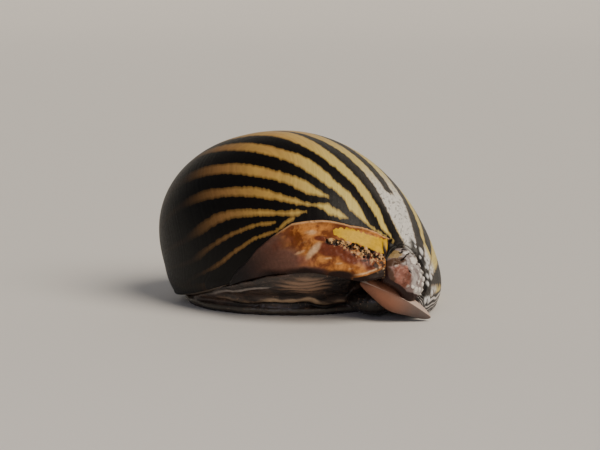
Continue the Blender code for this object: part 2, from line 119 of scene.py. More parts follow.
class Wiring:
    """A new material's node tree, in which each node's main output goes by a name."""

    main_outputs = {"Attribute": "Fac", "TexCoord": "Object", "Mapping": "Vector", "TexNoise": "Fac",
                    "MapRange": "Result", "Math": "Value", "Mix": 2, "Bump": "Normal"}

    def __init__(self, name: str) -> None:
        """Make the material, with its object coordinates under the name object."""
        self.material = bpy.data.materials.new(name)
        self.material.use_nodes = True
        self.tree = self.material.node_tree
        self.shader = self.tree.nodes["Principled BSDF"]
        self.outputs: dict[str, bpy.types.NodeSocket] = {}
        self.add_node("object", "TexCoord", {})

    def connect(self, socket: bpy.types.NodeSocket, value: Any) -> None:
        """Give a socket a number, a vector, a colour as "#rrggbb" or a named output."""
        if isinstance(value, str) and not value.startswith("#"):
            self.tree.links.new(self.outputs[value], socket)
        else:
            socket.default_value = linear(value) if isinstance(value, str) else value

    def add_node(self, name: str, kind: str, inputs: Inputs, output: str | int | None = None) -> None:
        """Add a node with its settings and links.

        Args:
            name: The name that its output goes by.
            kind: The node's type name without its first word.
            inputs: Properties by their lower-case name, and sockets by name or index.
            output: The output that is named, where it isn't the kind's usual one.
        """
        made = self.tree.nodes.new("ShaderNode" + kind)
        for key, value in inputs.items():
            if isinstance(key, str) and key[0].islower():
                setattr(made, key, value)
            else:
                self.connect(made.inputs[key], value)
        self.outputs[name] = made.outputs[self.main_outputs[kind] if output is None else output]

    def add_nodes(self, *rows: tuple[str, str, Inputs]) -> None:
        """Add a table of nodes, each with its name, kind and inputs."""
        for row in rows:
            self.add_node(*row)

    def read(self, *names: str) -> None:
        """Add the numbers that are stored on the mesh under some names."""
        for name in names:
            self.add_node(name, "Attribute", {"attribute_name": name})

    def lay(self, under: str, *layers: tuple[Any, ...]) -> str:
        """Lay colours over one another.

        Args:
            under: The lowest colour or named output.
            layers: The weight, the colour over it and, if it isn't a plain mix, the blend type.

        Returns:
            The name of the result.
        """
        for weight, over, *blend in layers:
            name = f"layer_{len(self.outputs)}"
            settings = {"data_type": "RGBA", "blend_type": blend[0] if blend else "MIX"}
            self.add_node(name, "Mix", settings | {0: weight, 6: under, 7: over})
            under = name
        return under

    def zone(self, under: str, name: str, over: str, grain: str, break_up: float, span: Pair) -> str:
        """Lay a colour over the zone that a stored weight marks, with a border that grain breaks up.

        Args:
            under: The colour under it, as a named output.
            name: The stored weight's name.
            over: The zone's colour or named output.
            grain: The named noise that breaks up its border.
            break_up: How strongly the noise shifts the border.
            span: Shifted weights at which the colour starts and is full.

        Returns:
            The name of the result.
        """
        self.read(name)
        low, high = span
        self.add_nodes(
            (name + "_shifted", "Math", {"operation": "MULTIPLY_ADD", 0: grain, 1: break_up, 2: name}),
            (name + "_share", "MapRange", SMOOTH | {
                "Value": name + "_shifted", "From Min": low, "From Max": high}),
        )
        return self.lay(under, (name + "_share", over))

    def close(self, colour: str, sockets: Inputs, height: str = "", strength: float = 0.0,
              depth: float = 0.0) -> bpy.types.Material:
        """Set the shader's own sockets and hand over the material.

        Args:
            colour: The named output of its colour.
            sockets: Numbers or named outputs for the shader's sockets.
            height: The named output that raises its finest relief, if it has any.
            strength: Strength of that relief.
            depth: Height of that relief in millimetres.

        Returns:
            The material.
        """
        if height:
            self.add_node("bump", "Bump", {"Height": height, "Strength": strength, "Distance": depth * MM})
            sockets = sockets | {"Normal": "bump"}
        for name, value in (sockets | {"Base Color": colour}).items():
            self.connect(self.shader.inputs[name], value)
        return self.material


def smoothstep(low: float, high: float, value: Array) -> Array:
    """Ease from 0 at low to 1 at high, for low below high."""
    part = np.clip((value - low) / (high - low), 0.0, 1.0)
    return part * part * (3.0 - 2.0 * part)


def falling(low: float, high: float, value: Array) -> Array:
    """Ease from 1 at low to 0 at high."""
    return 1.0 - smoothstep(low, high, value)


def bell(value: Array, half_width: float) -> Array:
    """A bell curve with its top of 1 at zero."""
    return np.exp(-(value / half_width) ** 2)


def blob(u: Array, v: Array, half_u: float, half_v: float, power: float = 1.5) -> Array:
    """A soft oval spot, 1 in its middle and steeper at its border for a higher power."""
    return np.exp(-((u / half_u) ** 2 + (v / half_v) ** 2) ** power)


def quarter_round(share: Array) -> Array:
    """Height of a quarter circle, from 0 at a share of 0 to 1 at a share of 1."""
    part = np.clip(share, 0.0, 1.0)
    return np.sqrt(part * (2.0 - part))


def circle(count: int) -> Array:
    """Evenly spaced angles once round."""
    return np.linspace(0.0, 2.0 * math.pi, count, endpoint=False)


def halved(low: Array, high: Array, is_past: Callable[[Array], Array], steps: int = 26) -> Array:
    """Find by halving where a test starts to hold.

    Args:
        low: Values at which it doesn't hold.
        high: Values at which it holds.
        is_past: The test.
        steps: Number of halvings.

    Returns:
        The values at which it starts.
    """
    for _ in range(steps):
        middle = 0.5 * (low + high)
        past = is_past(middle)
        low, high = np.where(past, low, middle), np.where(past, middle, high)
    return 0.5 * (low + high)


def padded(values: Values, extra: int, axis: int = 0) -> Values:
    """Values with their last row repeated for the rows that nobody sees."""
    return {key: np.concatenate([data, np.repeat(np.take(data, [-1], axis), extra, axis)], axis)
            for key, data in values.items()}


def eased(value: Array, ease: float) -> Array:
    """The positive part of a value, rounded where it starts."""
    return 0.5 * (value + np.sqrt(value ** 2 + ease ** 2))


def unit(vectors: Array) -> Array:
    """Vectors scaled to length one."""
    return vectors / np.maximum(np.linalg.norm(vectors, axis=-1, keepdims=True), 1e-12)


def turned(points: Array, angle: float) -> Array:
    """Points turned about Z by an angle in radians."""
    cosine, sine = math.cos(angle), math.sin(angle)
    x, y, z = points[..., 0], points[..., 1], points[..., 2]
    return np.stack([x * cosine - y * sine, x * sine + y * cosine, z], -1)


def to_world(points: Array) -> Array:
    """Shell frame to the animal's frame."""
    return turned(np.asarray(points, float), SHELL_YAW)


def to_shell(points: Array) -> Array:
    """The animal's frame to the shell frame."""
    return turned(np.asarray(points, float), -SHELL_YAW)


def ripple(points: Array, period: float, seed: int, waves: int = 14) -> Array:
    """Smooth seeded noise from about -1 to 1, a sum of waves in random directions.

    Args:
        points: Places in millimetres.
        period: Typical length of one wave in millimetres.
        seed: Seed of the wave directions and phases.
        waves: Number of waves in the sum.

    Returns:
        One value for each point.
    """
    draw = np.random.default_rng(seed)
    total = np.zeros(points.shape[:-1])
    for _ in range(waves):
        direction = draw.normal(size=points.shape[-1])
        direction *= 2.0 * math.pi / (period * draw.uniform(0.7, 1.5) * np.linalg.norm(direction))
        total += np.cos(points @ direction + draw.uniform(0.0, 2.0 * math.pi))
    return total / math.sqrt(waves)


def bumps(points: Array, centres: Array, radii: Array, sizes: Array) -> Array:
    """Sum of round bumps.

    Args:
        points: Places to measure at, in millimetres.
        centres: Middle of each bump.
        radii: Radius of each bump.
        sizes: Height of each bump, below zero for a pit.

    Returns:
        The height at each point.
    """
    flat = points.reshape(-1, points.shape[-1])
    total = np.zeros(len(flat))
    for centre, radius, size in zip(centres, radii, sizes):
        near = np.nonzero(np.abs(flat[:, 0] - centre[0]) < 2.5 * radius)[0]
        away = ((flat[near] - centre) ** 2).sum(-1) / radius ** 2
        total[near] += size * np.exp(-away * away)
    return total.reshape(points.shape[:-1])


def kept_inside(points: Array) -> Array:
    """Points eased back inside the CAD box, in millimetres of the animal's frame."""
    low, high = (np.array(corner) / MM + MIDDLE for corner in CAD_BOX)
    middle = 0.5 * (low + high)
    half = 0.5 * (high - low) - BOX_EASE
    over = np.clip(np.abs(points - middle) - half, 0.0, None)
    eased_over = BOX_EASE * np.tanh(over / BOX_EASE)
    made = np.where(over > 0.0, middle + np.sign(points - middle) * (half + eased_over), points)
    made[..., 2] = np.where(points[..., 2] < middle[2], np.maximum(points[..., 2], 0.0), made[..., 2])
    return made


def linked(name: str, data: bpy.types.ID) -> Object:
    """Make an object and link it to the scene."""
    made = bpy.data.objects.new(name, data)
    bpy.context.scene.collection.objects.link(made)
    return made


def mesh_piece(name: str, points: Array, quads: Array, triangles: Array, values: Values) -> Object:
    """Make a closed piece from points in the animal's frame.

    Args:
        name: The piece's name.
        points: Vertices in millimetres.
        quads: Four vertex numbers for each four-sided face.
        triangles: Three vertex numbers for each three-sided face.
        values: Named numbers or vectors for the vertices, which the finishes read.

    Returns:
        The object, smooth-shaded and linked to the scene.
    """
    corners = [(quads[:, 0], quads[:, 1], quads[:, 2]), (quads[:, 0], quads[:, 2], quads[:, 3]),
               (triangles[:, 0], triangles[:, 1], triangles[:, 2])]
    volume = sum((points[a] * np.cross(points[b], points[c])).sum() for a, b, c in corners)
    if volume < 0.0:
        quads, triangles = quads[:, ::-1], triangles[:, ::-1]
    mesh = bpy.data.meshes.new(name)
    mesh.vertices.add(len(points))
    mesh.vertices.foreach_set("co", ((kept_inside(points) - MIDDLE) * MM).astype(np.float32).ravel())
    loops = np.concatenate([quads.ravel(), triangles.ravel()]).astype(np.int32)
    mesh.loops.add(len(loops))
    mesh.loops.foreach_set("vertex_index", loops)
    starts = [np.arange(len(quads)) * 4, len(quads) * 4 + np.arange(len(triangles)) * 3]
    starts = np.concatenate(starts).astype(np.int32)
    mesh.polygons.add(len(starts))
    mesh.polygons.foreach_set("loop_start", starts)
    mesh.update(calc_edges=True)
    mesh.validate()
    made = linked(name, mesh)
    paint(made, values)
    mesh.shade_smooth()
    return made


def paint(piece: Object, values: Values) -> None:
    """Store named values on a piece's vertices.

    Args:
        piece: The mesh object.
        values: Arrays with one number, or one vector of three, for each vertex.
    """
    for name, data in values.items():
        vector = data.ndim == 2
        kind = "FLOAT_VECTOR" if vector else "FLOAT"
        stored = piece.data.attributes.new(name, kind, "POINT")
        stored.data.foreach_set("vector" if vector else "value", data.astype(np.float32).ravel())


def lofted(name: str, rings: Array, low: Array, high: Array, values: Values | None = None) -> Object:
    """A closed piece through rings of equal length, ending in two points.

    Args:
        name: The piece's name.
        rings: Points as rings, ring members and coordinates.
        low: The point that closes the first ring.
        high: The point that closes the last ring.
        values: Named numbers for the ring members, as rings and ring members.

    Returns:
        The object.
    """
    count, size = rings.shape[:2]
    points = np.vstack([rings.reshape(-1, 3), np.reshape(low, (1, 3)), np.reshape(high, (1, 3))])
    here = np.arange(size)
    after = (here + 1) % size
    base = (np.arange(count - 1) * size)[:, None]
    quads = np.stack([base + here, base + after, base + size + after, base + size + here], -1).reshape(-1, 4)
    last = (count - 1) * size
    foot_fan = np.stack([np.full(size, count * size), after, here], -1)
    head_fan = np.stack([np.full(size, count * size + 1), last + here, last + after], -1)
    painted = {}
    for key, data in (values or {}).items():
        tail = data.shape[2:]
        ends = [data[0].mean(0).reshape(1, *tail), data[-1].mean(0).reshape(1, *tail)]
        painted[key] = np.concatenate([data.reshape(-1, *tail), *ends])
    return mesh_piece(name, points, quads, np.vstack([foot_fan, head_fan]), painted)


def dress(piece: Object, material: bpy.types.Material, slot: Slot, *nodes: str) -> Object:
    """Give a piece its finish and its place in the frame.

    Args:
        piece: The mesh object.
        material: Its finish.
        slot: The record's slot that the finish belongs to; not used.
        nodes: The CAD nodes that it stands for.

    Returns:
        The same object.
    """
    piece.data.materials.clear()
    piece.data.materials.append(material)
    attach(piece, "root")
    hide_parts(*nodes)
    LOG.info("%s: %d faces for %s", piece.name, len(piece.data.polygons), ", ".join(nodes))
    return piece


@dataclass(frozen=True)
class ShellForm:
    """The shell's outer form, the same named sizes as in the part's solids."""

    axis_length: float = 23.0
    pole_height: float = 2.9
    front: float = 12.3
    top: float = 11.05
    rear: float = 6.7
    under: float = 3.0
    section_power: float = 2.2
    apex_power: float = 2.17
    base_power: float = 2.22
    apex_weight: float = 0.44
    top_lean: float = 0.36
    front_lean: float = 0.04
    side_ease: float = 0.12
    nose_swell: float = 0.8
    nose_lean: float = 0.4
    nose_x: Pair = (-8.0, -1.2)
    base_swell: float = 1.5
    base_lean: float = 0.45
    base_x: Pair = (-21.8, -15.0)
    hang_ease: float = 0.25
    rim_front: float = 0.5
    rim_nose: float = 0.15
    rim_nose_x: Pair = (-4.0, -0.5)
    rim_rear: float = 4.4
    rim_rear_y: Pair = (-3.8, 1.3)
    rim_base_x: Pair = (-23.5, -5.5)
    head_x: float = -9.6
    head_arch: float = 1.9
    head_arch_half_width: float = 3.4
    head_arch_y: Pair = (12.0, 15.0)
    ray_limit: float = 30.0
    seam_along: tuple[float, ...] = (0.08, 0.12, 0.21, 0.28, 0.36, 0.42, 0.46, 0.52, 0.60)
    seam_turns: tuple[float, ...] = (109.0, 121.0, 131.0, 135.0, 141.0, 150.0, 157.0, 172.0, 200.0)

    def bulge(self, turn: Array) -> Array:
        """Widest distance from the axis at a turn angle in radians."""
        cosine, sine = np.cos(turn), np.sin(turn)
        level = np.where(cosine > 0.0, self.front, self.rear)
        upright = np.where(sine > 0.0, self.top, self.under)
        power = self.section_power
        total = (np.abs(cosine) / level) ** power + (np.abs(sine) / upright) ** power
        return total ** (-1.0 / power)

    def lean(self, cosine: Array, sine: Array) -> Array:
        """How far a meridian leans towards the base for each unit of radius."""
        return self.top_lean * eased(sine, self.side_ease) + self.front_lean * eased(cosine, self.side_ease)

    def axial(self, arc: Array) -> tuple[Array, Array]:
        """Share of the axis length at an arc from the apex's pole, and the meridian's power there."""
        power = np.where(np.cos(arc) > 0.0, 2.0 / self.apex_power, 2.0 / self.base_power)
        return 0.5 - 0.5 * np.sign(np.cos(arc)) * np.abs(np.cos(arc)) ** power, power

    def radius(self, turn: Array, along: Array) -> Array:
        """Distance from the axis at a turn in radians and a place along the axis."""
        arc = np.asarray(along) * math.pi
        axial, power = self.axial(arc)
        return self.bulge(turn) * np.abs(np.sin(arc)) ** power * (1.0 - self.apex_weight * (axial - 0.5))

    def point(self, turn: Array, along: Array, reach: float = 1.0) -> Array:
        """Point of the shell in the shell frame.

        Args:
            turn: Angle round the coil axis in radians.
            along: Place along the axis, from 0 at the apex to 1 at the base.
            reach: Share of the distance from the axis.

        Returns:
            The hung point.
        """
        turn, along = np.broadcast_arrays(np.asarray(turn, float), np.asarray(along, float))
        radius = self.radius(turn, along) * reach
        axial, _ = self.axial(along * math.pi)
        x = -self.axis_length * axial - self.lean(np.cos(turn), np.sin(turn)) * radius
        return self.hung(np.stack([x, radius * np.cos(turn), self.pole_height + radius * np.sin(turn)], -1))

    def hung(self, points: Array) -> Array:
        """Let the two ends hang lower and lean forward, below the axis."""
        x, y, z = points[..., 0], points[..., 1], points[..., 2]
        depth = eased(self.pole_height - z, self.hang_ease)
        nose, base = smoothstep(*self.nose_x, x), falling(*self.base_x, x)
        ahead = depth * (self.nose_lean * nose + self.base_lean * base)
        drop = depth * (self.nose_swell * nose + self.base_swell * base)
        return np.stack([x + ahead, y, z - drop], -1)

    def find(self, points: Array) -> tuple[Array, Array, Array]:
        """Turn, along and reach of points that aren't hung yet, in the shell frame."""
        x, y, z = points[..., 0], points[..., 1], points[..., 2] - self.pole_height
        away = np.hypot(y, z) + 1e-9
        cosine, sine = y / away, z / away
        axial = -(x + self.lean(cosine, sine) * away) / self.axis_length
        outside = (axial < 0.0) | (axial > 1.0)
        side = 1.0 - 2.0 * np.clip(axial, 0.0, 1.0)
        power = np.where(side > 0.0, 2.0 / self.apex_power, 2.0 / self.base_power)
        cosine_arc = np.abs(side) ** (1.0 / power)
        along = np.arccos(np.clip(np.sign(side) * cosine_arc, -1.0, 1.0)) / math.pi
        turn = np.arctan2(z, y)
        turn = np.where(turn < -0.5 * math.pi, turn + 2.0 * math.pi, turn)
        reach = away / np.maximum(self.radius(turn, along), 1e-9)
        return turn, along, np.where(outside, 9.0, reach)

    def ray(self, centre: Array, directions: Array) -> Array:
        """Distance from an inner point to the form before it hangs, by halving."""
        shape = directions.shape[:-1]
        return halved(np.zeros(shape), np.full(shape, self.ray_limit),
                      lambda reach: self.find(centre + reach[..., None] * directions)[2] > 1.0)

    def rim_height(self, points: Array) -> Array:
        """Height of the aperture's rim over the floor at points of the animal's frame."""
        place = to_shell(points)
        x, y = points[..., 0], points[..., 1]
        rear = falling(*self.rim_rear_y, place[..., 1])
        from_base = smoothstep(*self.rim_base_x, place[..., 0])
        arch = np.exp(-((x - self.head_x) / self.head_arch_half_width) ** 4)
        arch = arch * smoothstep(*self.head_arch_y, y)
        nose = smoothstep(*self.rim_nose_x, place[..., 0])
        front = self.rim_front + (self.rim_nose - self.rim_front) * nose
        return front + (self.rim_rear - front) * rear * from_base + self.head_arch * arch

    def seam(self, along: Array) -> Array:
        """Turn angle of the arched seam in radians."""
        return np.radians(np.interp(along, self.seam_along, self.seam_turns))

    def normal(self, turn: float, along: float) -> Array:
        """Outward unit normal at one place."""
        step = 1e-3
        by_turn = self.point(turn + step, along) - self.point(turn - step, along)
        by_along = self.point(turn, along + step) - self.point(turn, along - step)
        made = unit(np.cross(by_turn, by_along))
        outward = self.point(turn, along) - self.point(turn, along, reach=0.5)
        return made if made @ outward > 0.0 else -made


@dataclass(frozen=True)
class SpireDisc:
    """Where the worn coil sits on the shell, with its flat coordinates p, q and height."""

    form: ShellForm
    turn: float = math.radians(132.0)
    along: float = 0.037
    radius: float = 2.25
    rise: float = 0.34
    edge_drop: float = 0.52
    axes: list[Array] = field(init=False, default_factory=list)

    def __post_init__(self) -> None:
        """Work out the middle and the three directions."""
        centre = self.form.point(self.turn, self.along)
        axis = self.form.normal(self.turn, self.along)
        side = unit(np.cross((0.0, 0.0, 1.0), axis))
        self.axes.extend([to_world(centre), to_world(axis), to_world(side), to_world(np.cross(axis, side))])

    def flat(self, points: Array) -> tuple[Array, Array, Array]:
        """Flat coordinates p and q and the height of points in the animal's frame."""
        centre, axis, side, up = self.axes
        away = points - centre
        return away @ side, away @ up, away @ axis

    def place(self, p: Array, q: Array, height: Array) -> Array:
        """Points of the animal's frame from flat coordinates and a height."""
        centre, axis, side, up = self.axes
        return centre + p[..., None] * side + q[..., None] * up + height[..., None] * axis

    def dome(self, share: Array) -> Array:
        """Height of the plain dome at a share of the radius."""
        return self.rise * (1.0 - share * share) - self.edge_drop * share * share


@dataclass(frozen=True)
class Stripe:
    """One pale stripe, as places along the axis with its upper and lower edge in degrees of turn."""

    edges: tuple[Triple, ...]

    def depth(self, along: Array, degrees: Array, per_degree: Array, length: float) -> Array:
        """Distance inside the stripe's nearest edge in millimetres, below zero outside it.

        Args:
            along: Places along the axis.
            degrees: Turn angles in degrees.
            per_degree: Millimetres in one degree at each place.
            length: Millimetres in one unit of along.

        Returns:
            The signed distance.
        """
        starts, tops, bottoms = (np.array(part) for part in zip(*self.edges))
        top, bottom = np.interp(along, starts, tops), np.interp(along, starts, bottoms)
        across = np.minimum(degrees - top, bottom - degrees) * per_degree
        return np.minimum(across, np.minimum(along - starts[0], starts[-1] - along) * length)


@dataclass(frozen=True)
class ZebraPattern:
    """Pale stripes over black, which fan out from the worn coil to the base."""

    form: ShellForm
    stripe_length: float = 27.0
    limit: float = 1.5
    far_turns: tuple[float, ...] = (-8.0, -22.0, -37.0, -51.0, -66.0)
    far_width: float = 7.5
    far_wobble: float = 2.6
    rear_turns: tuple[float, ...] = (186.0, 199.0, 214.0)
    seed: int = 11
    # Whitened zone on the right of the dome, partly worn chalky lime and partly painted highlight
    wear_and_highlight_along: Pair = (0.15, 0.25)
    wear_and_highlight_turns: tuple[float, ...] = (46.0, 52.0, 90.0, 98.0)
    bleached_along: Pair = (0.055, 0.095)
    cream_along: Pair = (0.22, 0.42)
    tan_along: Pair = (0.40, 0.54)
    tan_turns: Pair = (92.0, 106.0)
    # Painted shade: where along the axis it starts and is full, its share on the far side and the turns where
    # it is full
    painted_shade_along: Pair = (0.42, 0.66)
    painted_shade_far_side: float = 0.25
    painted_shade_turns: Pair = (30.0, 60.0)
    stripes: tuple[Stripe, ...] = (
        Stripe(((.03, 4, 17), (.10, 5, 19), (.20, 8, 20), (.40, 10, 22), (.65, 12, 22), (.95, 12, 20))),
        Stripe(((.03, 20, 36), (.07, 16, 34), (.09, 18, 36), (.10, 31, 39), (.13, 32, 41), (.17, 33, 44),
                (.24, 36, 46), (.40, 38, 48), (.60, 38, 46), (.95, 37, 45))),
        Stripe(((.03, 56, 68), (.10, 54, 68), (.15, 52.5, 68), (.17, 52.5, 65.5), (.20, 54, 65.5),
                (.26, 55, 67), (.32, 56, 68), (.45, 56, 67), (.65, 54, 64), (.95, 52, 60))),
        Stripe(((.03, 60, 75), (.11, 60, 75), (.15, 61, 73), (.168, 63, 69))),
        Stripe(((.03, 66, 95), (.09, 66, 97), (.12, 66, 93), (.155, 68, 88.5), (.17, 74, 87),
                (.20, 74, 85.5), (.26, 75, 85), (.32, 76, 86), (.40, 76, 87), (.55, 72, 84),
                (.70, 70, 80), (.95, 68, 76))),
        Stripe(((.085, 112, 116), (.10, 110.5, 114), (.12, 106, 117), (.14, 100, 111.5), (.17, 97.5, 108),
                (.20, 96, 104.5), (.25, 95, 103.5), (.30, 93.5, 102), (.36, 91, 100.5), (.42, 89, 99),
                (.50, 86, 98), (.60, 84, 95.5), (.75, 84, 93), (.95, 84, 92))),
        Stripe(((.11, 116.5, 119.5), (.13, 120, 122), (.155, 121, 124.3), (.17, 118, 123.5),
                (.18, 115, 123), (.19, 113, 122.8), (.21, 111, 122), (.22, 110.8, 118.5),
                (.24, 110.5, 117), (.27, 108.8, 116), (.30, 107, 115), (.33, 106.5, 113.5),
                (.38, 106.5, 112.2), (.43, 105.3, 110.8), (.48, 103.5, 109), (.52, 102, 107),
                (.58, 100, 104.5), (.66, 98, 102.5), (.80, 98, 102), (.95, 98, 101))),
        Stripe(((.262, 121, 122), (.28, 120.3, 123.5), (.30, 119, 124.7), (.32, 118.2, 125),
                (.35, 118, 123.5), (.40, 117.5, 122.3), (.44, 116.3, 121.8), (.50, 114.7, 119.7),
                (.56, 113.3, 118.4), (.62, 112.3, 118), (.70, 111.5, 117), (.95, 112, 116))),
        Stripe(((.215, 127, 128), (.225, 125.8, 129.8), (.24, 125.3, 130.8), (.26, 125.2, 131.2),
                (.275, 126, 130), (.29, 127.3, 129.7), (.305, 128.5, 130.2), (.32, 128.7, 131),
                (.34, 128.2, 131.5), (.36, 128, 131.8), (.40, 127, 131.5), (.44, 126, 131),
                (.50, 126, 130.2), (.56, 125.3, 130.5), (.62, 126, 131.3), (.72, 128, 132.5),
                (.95, 130, 134))),
        Stripe(((.318, 133, 134), (.335, 133.5, 136), (.35, 134, 137.7), (.37, 135.2, 138.3),
                (.40, 136, 138.8), (.44, 136, 139.8), (.50, 136.3, 141), (.54, 138, 143.5),
                (.58, 141, 148), (.62, 145, 151), (.66, 149, 154), (.75, 154, 158), (.95, 160, 165))),
        Stripe(((.348, 137.4, 138.2), (.36, 138, 140.6), (.372, 139.5, 142.4), (.385, 142.2, 144.6),
                (.40, 145, 147))),
        Stripe(((.398, 141.3, 142), (.415, 141.8, 143.8), (.44, 142.5, 144.5), (.47, 144.3, 146.7),
                (.50, 147, 149.5), (.54, 151.5, 154.2), (.58, 156, 159.7), (.62, 160.5, 166.5),
                (.66, 166, 170.5), (.72, 171, 174), (.95, 184, 188))),
        Stripe(((.398, 145.6, 146.3), (.42, 147, 148.7), (.44, 148.5, 150.6), (.46, 150.2, 152.2),
                (.48, 152.7, 155.2), (.50, 156, 158.6), (.54, 163.3, 166.2), (.58, 169.5, 172.5),
                (.63, 176, 178.5), (.70, 184, 187))),
    )

    def hidden(self) -> list[Stripe]:
        """Stripes of the side that the photograph doesn't show, drawn with a seeded wobble."""
        draw = np.random.default_rng(self.seed)
        made = []
        for middle in self.far_turns + self.rear_turns:
            start = 0.03 if middle < 0.0 else 0.62
            places = np.linspace(start, 0.95, 9)
            sway = np.cumsum(draw.uniform(-1.0, 1.0, len(places))) * self.far_wobble * 0.5
            width = self.far_width * draw.uniform(0.75, 1.2, len(places)) * (0.5 if middle > 0.0 else 1.0)
            rows = zip(places, middle + sway - 0.5 * width, middle + sway + 0.5 * width)
            made.append(Stripe(tuple((float(a), float(b), float(c)) for a, b, c in rows)))
        return made

    def values(self, turn: Array, along: Array) -> Values:
        """Signed distance to the stripe edges and the zones of colour, with painted highlight and painted
        shade among them.

        Args:
            turn: Turn angles in radians.
            along: Places along the axis.

        Returns:
            Named values for the finish.
        """
        degrees = np.degrees(turn)
        per_degree = np.maximum(self.form.radius(turn, along), 0.6) * math.radians(1.0)
        depth = np.full(turn.shape, -self.limit)
        for stripe in (*self.stripes, *self.hidden()):
            depth = np.maximum(depth, stripe.depth(along, degrees, per_degree, self.stripe_length))
        # The whitened zone is partly worn chalky lime and partly painted highlight
        wear_and_highlight_from, wear_and_highlight_to = self.wear_and_highlight_turns[:2], self.wear_and_highlight_turns[2:]
        worn = falling(*self.wear_and_highlight_along, along) * falling(*wear_and_highlight_to, degrees) * smoothstep(*wear_and_highlight_from, degrees)
        # Painted shade darkens the left side and the base, and the far side less
        painted_shade_share = self.painted_shade_far_side + (1.0 - self.painted_shade_far_side) * smoothstep(*self.painted_shade_turns, degrees)
        around = turn * self.form.radius(turn, along)
        return {
            "stripe": np.clip(depth, -self.limit, self.limit),
            "pale": np.maximum(worn, falling(*self.bleached_along, along)),
            "cream": falling(*self.cream_along, along),
            "tan": smoothstep(*self.tan_along, along) * smoothstep(*self.tan_turns, degrees),
            "painted_shade": smoothstep(*self.painted_shade_along, along) * painted_shade_share,
            "place": np.stack([along * self.stripe_length, around, 0.0 * turn], -1),
        }


